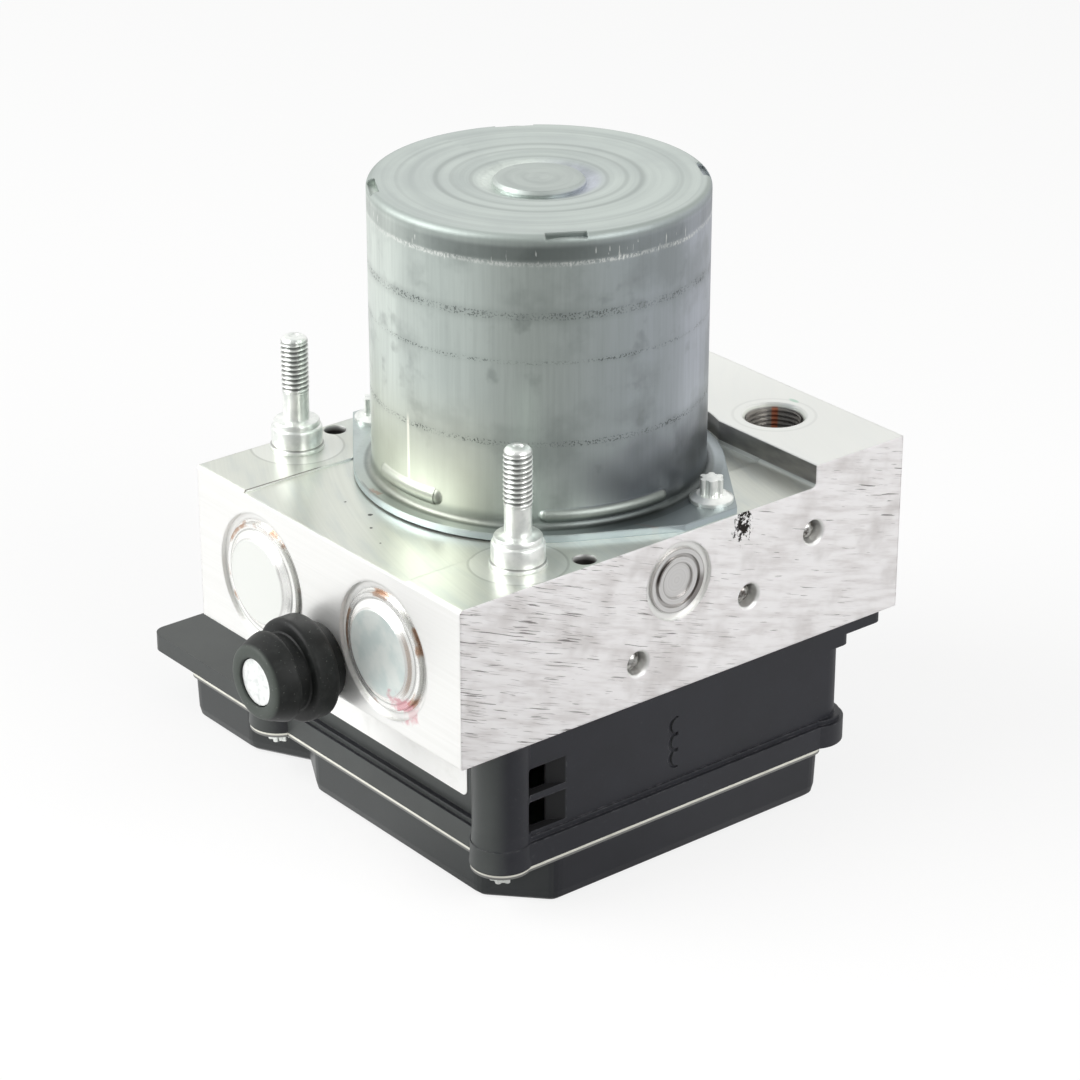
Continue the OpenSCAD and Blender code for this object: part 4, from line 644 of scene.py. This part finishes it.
# A band of painted shade under the rim, strongest where the can faces the front
painted_shade_under_rim = can.band(can.z, chuck_level + 2.0, 0.9, 1.6) * (0.3 + can.band(can_turn, -45.0, 14.0, 34.0) * 0.45)
painted_shade_under_rim = painted_shade_under_rim * (0.7 + wide_streaks * 0.6)
side_colour = can.mixed(painted_shade_under_rim, side_colour, "5d6462")
over_ring = can.z - (chuck_level + (wander - 0.5) * 1.6)
scratch = can.noise(1.0, 3.0, can.point(can.x * 2.4, can.y * 2.4, can.z * 1.5), 0.7)
ring_mark = can.band(over_ring, 0.0, 0.15, 0.5) * can.fade(scratch, 0.4, 0.58) * (0.35 + broken * 0.6)
side_colour = can.mixed(ring_mark * 0.65, side_colour, "eef0ec")
nicks = can.noise(1.0, 2.0, can.point(can.x * 1.7, can.y * 1.7, can.z * 0.25), 0.5)
nicked = can.band(over_ring, 1.0, 1.0, 1.2) * can.fade(nicks, 0.66, 0.7)
side_colour = can.mixed(nicked * 0.6, side_colour, "f1f3ef")
long_scratch = can.band(can_turn, -87.8, 0.35, 0.5) * can.band(can.z, 85.0, 5.0, 3.0)
side_colour = can.mixed(long_scratch * 0.8, side_colour, "f6f5ea")

# End: turned rings round the bearing boss, painted shade in the dish round the boss, darker to the left, and
# in the groove at its edge, and painted shade on the rolled edge
rings_on_end = can.noise(1.0, 2.0, can.point(can_reach * 0.42, can_turn * 0.006, 0.0), 0.5)
fine_rings = can.noise(1.0, 2.0, can.point(can_reach * 3.0, can_turn * 0.01, 4.0))
end_colour = can.mixed(can.fade(rings_on_end, 0.35, 0.75), "c4ccc7", "b4bcb8")
end_colour = can.mixed(can.fade(fine_rings, 0.4, 0.7) * 0.08, end_colour, "98a09c")
end_colour = can.mixed(can.fade(cloud, 0.4, 0.7) * 0.3, end_colour, "aab1b0")
for radius, soft, strength in ((20.3, 0.7, 0.35), (17.2, 0.6, 0.25), (13.4, 0.5, 0.3), (28.0, 0.4, 0.15)):
    end_colour = can.mixed(can.band(can_reach, radius, 0.15, soft) * strength, end_colour, "8a918e")
# Painted shade in the dish round the boss, darker to the left, and in the groove at the boss's edge
to_left = can.fade((can.x * leftward[0] + can.y * leftward[1]) / (can_reach + 0.01), 0.1, 0.9)
end_colour = can.mixed(can.band(can_reach, 10.4, 0.7, 1.0) * (0.3 + to_left * 0.5), end_colour, "646b67")
end_colour = can.mixed(can.band(can_reach, 9.55, 0.2, 0.2) * 0.7, end_colour, "4c504e")
end_colour = can.mixed(can.fade(can_reach, 9.4, 8.8) * 0.3, end_colour, "9da39f")
can_colour = can.mixed(on_end, side_colour, end_colour)
# Painted shade on the rolled edge, which is also rougher
shaded_rolled_edge = can.fade(can_reach, can_radius - 1.5, can_radius - 0.7)
shaded_rolled_edge = shaded_rolled_edge * can.fade(can.z, can_top - 2.4, can_top - 1.2)
can_colour = can.mixed(shaded_rolled_edge * 0.6, can_colour, "8d9591")

# Flange: rust, a drip, painted shade between can and ears, on the bead and at the can's foot, and the bright
# cut edge
rust_noise = can.noise(0.9, 4.0, rough=0.7)
orange = can.patch(can.x, can.y, (-7.3, -35.9), (1.8, 0.9))
flange_end = can.fade(can.z, flange_z + 0.6, flange_z)
orange_rust = can.fade(rust_noise - orange * 0.2, 0.25, 0.4) * flange_end
can_colour = can.mixed(orange_rust * 0.9, can_colour, "b4692c")
drip_line = can.band(can_reach, flange_radius, 0.2, 0.15) * can.band(can_turn, -103.0, 5.0, 5.0)
can_colour = can.mixed(drip_line * flange_end * 0.7, can_colour, "4d3c2e")
streak_x, streak_y = can.x - rust_streak[0], can.y - rust_streak[1]
streak_reach = can.away((streak_x + streak_y * 0.6) / 3.2, (streak_y - streak_x * 0.55) / 0.55, 0.0, 0.0)
can_colour = can.mixed(can.fade(streak_reach, 1.2, 0.8) * flange_end * 0.8, can_colour, "7a4a2b")
flange_skin = can.fade(can.z, flange_z - 0.2, flange_z - 0.6)
flange_skin = flange_skin * can.fade(can_reach, can_radius + 0.3, can_radius + 1.5)
can_colour = can.mixed(flange_skin * 0.6, can_colour, "a9b3b2")
ear_shade = can.band(can_turn, 12.0, 22.0, 20.0) * can.fade(can_reach, can_radius + 7.1, can_radius + 1.6)
ear_shade = ear_shade * flange_end
can_colour = can.mixed(ear_shade * 0.6, can_colour, "3c4245")
# Painted shade on the bead above the flange
bead_shade = can.fade(can_reach, can_radius + 0.1, can_radius + 0.5)
bead_shade = bead_shade * can.fade(can.z, flange_z + 0.8, flange_z + 1.4)
bead_shade = bead_shade * can.fade(can.z, flange_z + 6.2, flange_z + 5.2)
can_colour = can.mixed(bead_shade * 0.5, can_colour, "858b81")
# Painted shade in the crease at the can's foot
foot = can.band(can_reach, can_radius + 0.7, 0.5, 0.7) * can.fade(can.z, flange_z + 2.7, flange_z + 0.8)
can_colour = can.mixed(foot * 0.55, can_colour, "565b56")
flange_edge = can.fade(can_reach, flange_radius - 0.15, flange_radius + 0.15)
flange_edge = flange_edge * can.fade(can.z, flange_z - 0.5, flange_z - 1.2)
can_colour = can.mixed(flange_edge * 0.6, can_colour, "cbd8de")
can_rough = 0.36 + streaks * 0.08 + on_end * 0.06 + shaded_rolled_edge * 0.12
can_height = streaks * (1.0 - on_end) * 0.12 + fine_rings * on_end * 0.05
can_height = can_height + bands * broken * speck * 0.4 + cloud * 0.8
can.finish_with(can_colour, can_rough, can_height, 0.05, 0.4)
dress(can, "motor_can")


# Inside of the motor: ferrite magnets clipped in the can, and the shaft with its eccentric, that runs in
# ball bearings. The ground steel is fine and bright; valves, armatures and coil cases have it too.
magnet = Finish("sintered_magnet", "3a3b3d", 0.7, 0.2)
grain = magnet.noise(1.5, 4.0, rough=0.7)
magnet.two_tone(grain, "2f3032", "494a4c", 0.6, 0.25, 0.05, 0.3)
dress(magnet, "motor_magnets")

ground = Finish("ground_steel", "b4b6b7", 0.2, 1.0)
polish = ground.noise(1.0, 2.0, ground.point(ground.x * 0.5, ground.y * 0.5, ground.z * 4.0))
ground.two_tone(polish, "c0c2c3", "9fa2a4", 0.15, 0.15, 0.01, 0.15)
dress(ground, "upper_bearing", "lower_bearing", "end_bearing", "motor_shaft", "eccentric_bearing",
      "inlet_valves", "outlet_valves", "coil_cases",
      *["%s_armature_%d" % (valve, i) for valve in ("inlet", "outlet") for i in (1, 2, 3, 4)])


# Brush gear: a moulded plate with two brush boxes, pressed carbon brushes, and brass blades that bring
# the current up from the control unit through the block. The coils' bobbins are of the same moulding.
pale = Finish("pale_moulding", "cfc6ac", 0.5)
flow = pale.noise(0.3, 3.0)
pale.two_tone(flow, "d6cdb4", "c2b99e", 0.45, 0.15, 0.05, 0.3)
dress(pale, "brush_plate", "coil_bobbins")

carbon = Finish("pressed_carbon", "232324", 0.6)
soot = carbon.noise(2.0, 3.0)
carbon.two_tone(soot, "1d1d1e", "333335", 0.5, 0.25, 0.03, 0.2)
dress(carbon, "brushes")

brass = Finish("contact_brass", "c9a458", 0.28, 1.0)
rolled = brass.noise(1.0, 2.0, brass.point(brass.x * 2.0, brass.y * 2.0, brass.z * 0.2))
brass.two_tone(rolled, "d3b068", "b38f46", 0.22, 0.15, 0.02, 0.1)
dress(brass, "motor_terminals", "coil_terminals", "connector_pins")


# Copper parts: the lacquered windings of the armature and of the valve coils, and the commutator's
# segments, which the brushes keep bright.
copper = Finish("copper_wire", "b4693c", 0.35, 1.0)
turns = copper.noise(1.0, 2.0, copper.point(copper.x * 0.6, copper.y * 0.6, copper.z * 3.2))
copper.two_tone(turns, "c27848", "8f4e2b", 0.28, 0.2, 0.12, 0.2)
dress(copper, "armature_windings", "commutator", "solenoid_coils")


# Control unit's housing: glass-filled nylon, charcoal, moulded with a fine texture. Handling leaves pale
# scuffs along its edges, and a little dust. The shelf's upward faces are lighter, the faces towards the
# front carry painted light, and the pocket is painted with shade.
rim_top = 17.0
wall_face = 42.3
shelf_start = -43.0
pocket_ends = (-37.4, -27.0)
plastic = Finish("charcoal_moulding", "1d1e21", 0.42, Specular_IOR_Level=0.45)
texture = plastic.noise(3.0, 3.0, rough=0.6)
shade = plastic.noise(0.1, 4.0, rough=0.6)
scuff = plastic.fade(plastic.worn(0.5), 0.01, 0.12) * plastic.fade(plastic.noise(0.7, 4.0), 0.45, 0.7)
dusty = plastic.fade(plastic.noise(1.3, 4.0, rough=0.7), 0.6, 0.72)
plastic_colour = plastic.mixed(shade, "16171b", "212229")
plastic_colour = plastic.mixed(scuff * 0.45, plastic_colour, "77777a")
plastic_colour = plastic.mixed(dusty * 0.1, plastic_colour, "6a6b6c")
sunk = plastic.fade(plastic.x, wall_face - 0.05, wall_face - 0.2)
sunk = sunk * (plastic.x > 30.0) * (plastic.z > rim_top + 0.6)
# Painted light on the faces towards the front
painted_front_light = plastic.fade(plastic.facing("y"), -0.35, -0.95)
plastic_colour = plastic.mixed(painted_front_light * (0.45 + shade * 0.35), plastic_colour, "474b48")
# The shelf's upward faces are lighter
on_shelf = plastic.fade(plastic.facing("z"), 0.5, 0.95)
on_shelf = on_shelf * plastic.fade(plastic.x, shelf_start, shelf_start - 3.0)
plastic_colour = plastic.mixed(on_shelf * (0.6 + shade * 0.4), plastic_colour, "4c504d")
# Painted shade in the pocket behind the wall, almost black
pocket_shade = sunk * (plastic.y > pocket_ends[0]) * (plastic.y < pocket_ends[1])
plastic_colour = plastic.mixed(pocket_shade * 0.85, plastic_colour, "060607")
plastic_rough = 0.38 + texture * 0.1 + scuff * 0.1 + pocket_shade * 0.3
plastic.finish_with(plastic_colour, plastic_rough, texture, 0.015, 0.4)
dress(plastic, "ecu_housing")


# Lower cover: the same nylon, with a little less dust, pressed up against the plate by the unit's screws.
# Its outer edge is rounded more than the housing's, and its faces towards the front carry painted light.
cover = Finish("cover_moulding", "1d1e21", 0.4, Specular_IOR_Level=0.45)
cover_texture = cover.noise(3.0, 3.0, rough=0.6)
cover_shade = cover.noise(0.08, 4.0, rough=0.6)
# Painted light on the faces towards the front
painted_cover_front_light = cover.fade(cover.facing("y"), -0.35, -0.95)
cover_scuff = cover.fade(cover.worn(0.6), 0.01, 0.12) * cover.fade(cover.noise(0.7, 4.0), 0.45, 0.7)
cover_colour = cover.mixed(cover_shade, "15161a", "202127")
cover_colour = cover.mixed(cover_scuff * 0.35, cover_colour, "707173")
cover_colour = cover.mixed(painted_cover_front_light * (0.4 + cover_shade * 0.3), cover_colour, "3c403e")
cover.finish_with(cover_colour, 0.36 + cover_texture * 0.1, cover_texture, 0.015, 0.5)
dress(cover, "ecu_cover")


# Base plate: rolled aluminium sheet, clamped between housing and cover. Only its bright cream edge shows,
# with a dull line below where the shears broke through.
plate_low = 10.0
plate = Finish("rolled_plate", "d9d8c8", 0.4, 0.7)
rolling = plate.noise(1.0, 3.0, plate.point(plate.x * 0.3, plate.y * 0.3, plate.z * 6.0))
smudge = plate.noise(0.25, 4.0)
plate_colour = plate.mixed(plate.fade(smudge, 0.5, 0.75) * 0.4, "e9e8dd", "c3c1b4")
fractured = plate.fade(plate.z, plate_low + 0.55, plate_low + 0.4)
plate_colour = plate.mixed(fractured * 0.8, plate_colour, "55565a")
plate.finish_with(plate_colour, 0.34 + rolling * 0.15, rolling, 0.04, 0.15)
dress(plate, "base_plate")


# Circuit board under the plate: green lacquered laminate with faint tracks, and the moulded black parts
# that are soldered on its underside.
lacquer = Finish("lacquered_board", "1d5a38", 0.3, Coat_Weight=0.3)
tracks = lacquer.noise(0.5, 2.0)
board_colour = lacquer.mixed(lacquer.fade(tracks, 0.48, 0.52), "194f31", "246b43")
lacquer.finish_with(board_colour, 0.28 + tracks * 0.1, tracks, 0.03, 0.1)
dress(lacquer, "circuit_board")

moulded_chip = Finish("moulded_chips", "262729", 0.5)
chip_grain = moulded_chip.noise(3.0, 3.0)
moulded_chip.two_tone(chip_grain, "212224", "2e2f31", 0.45, 0.15, 0.02, 0.15)
dress(moulded_chip, "board_components")


# Label: plain white satin paper, stuck on the housing's front wall under the block. Nothing is printed
# on it; its fibres and a little grime show.
paper = Finish("bare_label", "fafaf8", 0.5)
fibre = paper.noise(1.8, 4.0, rough=0.7)
grime = paper.noise(0.15, 4.0, rough=0.6)
paper_colour = paper.mixed(paper.fade(grime, 0.5, 0.8) * 0.4, "fafaf8", "dcdcd8")
paper.finish_with(paper_colour, 0.45 + fibre * 0.15, fibre, 0.02, 0.1)
dress(paper, "ecu_label")


# Studio: a white floor that keeps the soft shadow, a white surround, two soft lamps and the camera.
# What the camera sees of floor and surround is pure white; mirrors and plain light get a greyer room.
def kinds_of_ray(tree):
    """Whether a ray comes from the camera, from a mirror or through something clear."""
    seen = tree.add("LightPath", out="Is Camera Ray")
    others = ("Is Glossy Ray", "Is Transmission Ray")
    return [seen] + [Wire(tree, seen.socket.node.outputs[name]) for name in others]


white = (1.0, 1.0, 1.0, 1.0)
floor_mesh = bmesh.new()
bmesh.ops.create_grid(floor_mesh, x_segments=8, y_segments=8, size=4.0)
floor_data = bpy.data.meshes.new("floor")
floor_mesh.to_mesh(floor_data)
floor_mesh.free()
floor = bpy.data.objects.new("floor", floor_data)
bpy.context.scene.collection.objects.link(floor)
floor_paint = bpy.data.materials.new("white_floor")
floor_paint.use_nodes = True
floor_tree = Tree(floor_paint.node_tree)
floor_tree.nodes.clear()
seen, mirrored, through = kinds_of_ray(floor_tree)
along, across = floor_tree.parts(floor_tree.add("TexCoord", out="Object"))[:2]
spread = (along * along + across * across + 0.0004) ** 0.5
on_left = (along * leftward[0] + across * leftward[1]) / spread
in_front = (along * -backward[0] + across * -backward[1]) / spread
# What mirrors see of the floor is a painted glow, brighter to the left and darker in front
mirrored_glow = 0.62 + floor_tree.fade(on_left, 0.1, 0.85) * 0.43 - floor_tree.fade(in_front, 0.4, 0.95) * 0.22
strength = seen + (1.0 - seen) * mirrored_glow
lit = floor_tree.add("BsdfDiffuse", sockets={"Color": "f4f4f3"})
glow = floor_tree.add("Emission", sockets={"Color": white, "Strength": strength})
share = floor_tree.maths("MINIMUM", seen * 0.8 + mirrored + through * 0.8, 1.0)
ground_shader = floor_tree.add("MixShader", sockets={0: share, 1: lit, 2: glow})
floor_tree.add("OutputMaterial", sockets={"Surface": ground_shader})
floor_data.materials.append(floor_paint)

camera_place = Vector((0.50592, -0.40858, 0.35675))
camera_turn, camera_lift = math.radians(51.06), math.radians(24.91)
flat = math.cos(camera_lift)
towards_camera = (math.sin(camera_turn) * flat, -math.cos(camera_turn) * flat, math.sin(camera_lift))
world = bpy.data.worlds.new("studio")
bpy.context.scene.world = world
world.use_nodes = True
sky = Tree(world.node_tree)
sky.nodes.clear()
seen, mirrored, through = kinds_of_ray(sky)
heading = sky.add("TexCoord", out="Generated")
from_camera = sky.add("VectorMath", {"operation": "DOT_PRODUCT"}, {0: heading, 1: towards_camera},
                      out="Value")
side_on = sky.parts(heading)[0]
room = 1.05 - sky.fade(from_camera, 0.1, 0.85) * 0.6 - sky.fade(side_on, 0.3, 0.9) * 0.25
white_share = sky.maths("MINIMUM", seen + through, 1.0)
level = white_share + (1.0 - white_share) * (mirrored * room + (1.0 - mirrored) * 0.35)
backdrop = sky.add("Background", sockets={"Color": white, "Strength": level})
sky.add("OutputWorld", sockets={"Surface": backdrop})


def soft_lamp(name, place, width, power, aimed_at=0.06):
    """A square soft lamp that is aimed at the middle of the object."""
    lamp = bpy.data.lights.new(name, "AREA")
    lamp.shape = "SQUARE"
    lamp.size = width
    lamp.energy = power
    holder = bpy.data.objects.new(name, lamp)
    holder.location = place
    aim = Vector((0.0, 0.0, aimed_at)) - Vector(place)
    holder.rotation_euler = aim.to_track_quat("-Z", "Y").to_euler()
    bpy.context.scene.collection.objects.link(holder)


soft_lamp("key", (-0.55, -1.0, 0.85), width=1.1, power=19.0)
soft_lamp("fill", (1.25, 0.15, 0.7), width=1.0, power=14.5)

lens = bpy.data.cameras.new("camera")
lens.sensor_width = 36.0
lens.lens = 116.72
camera = bpy.data.objects.new("camera", lens)
camera.location = camera_place
camera.rotation_euler = (math.pi / 2 - camera_lift, 0.0, camera_turn)
bpy.context.scene.collection.objects.link(camera)
bpy.context.scene.camera = camera
bpy.context.scene.view_settings.view_transform = "Standard"
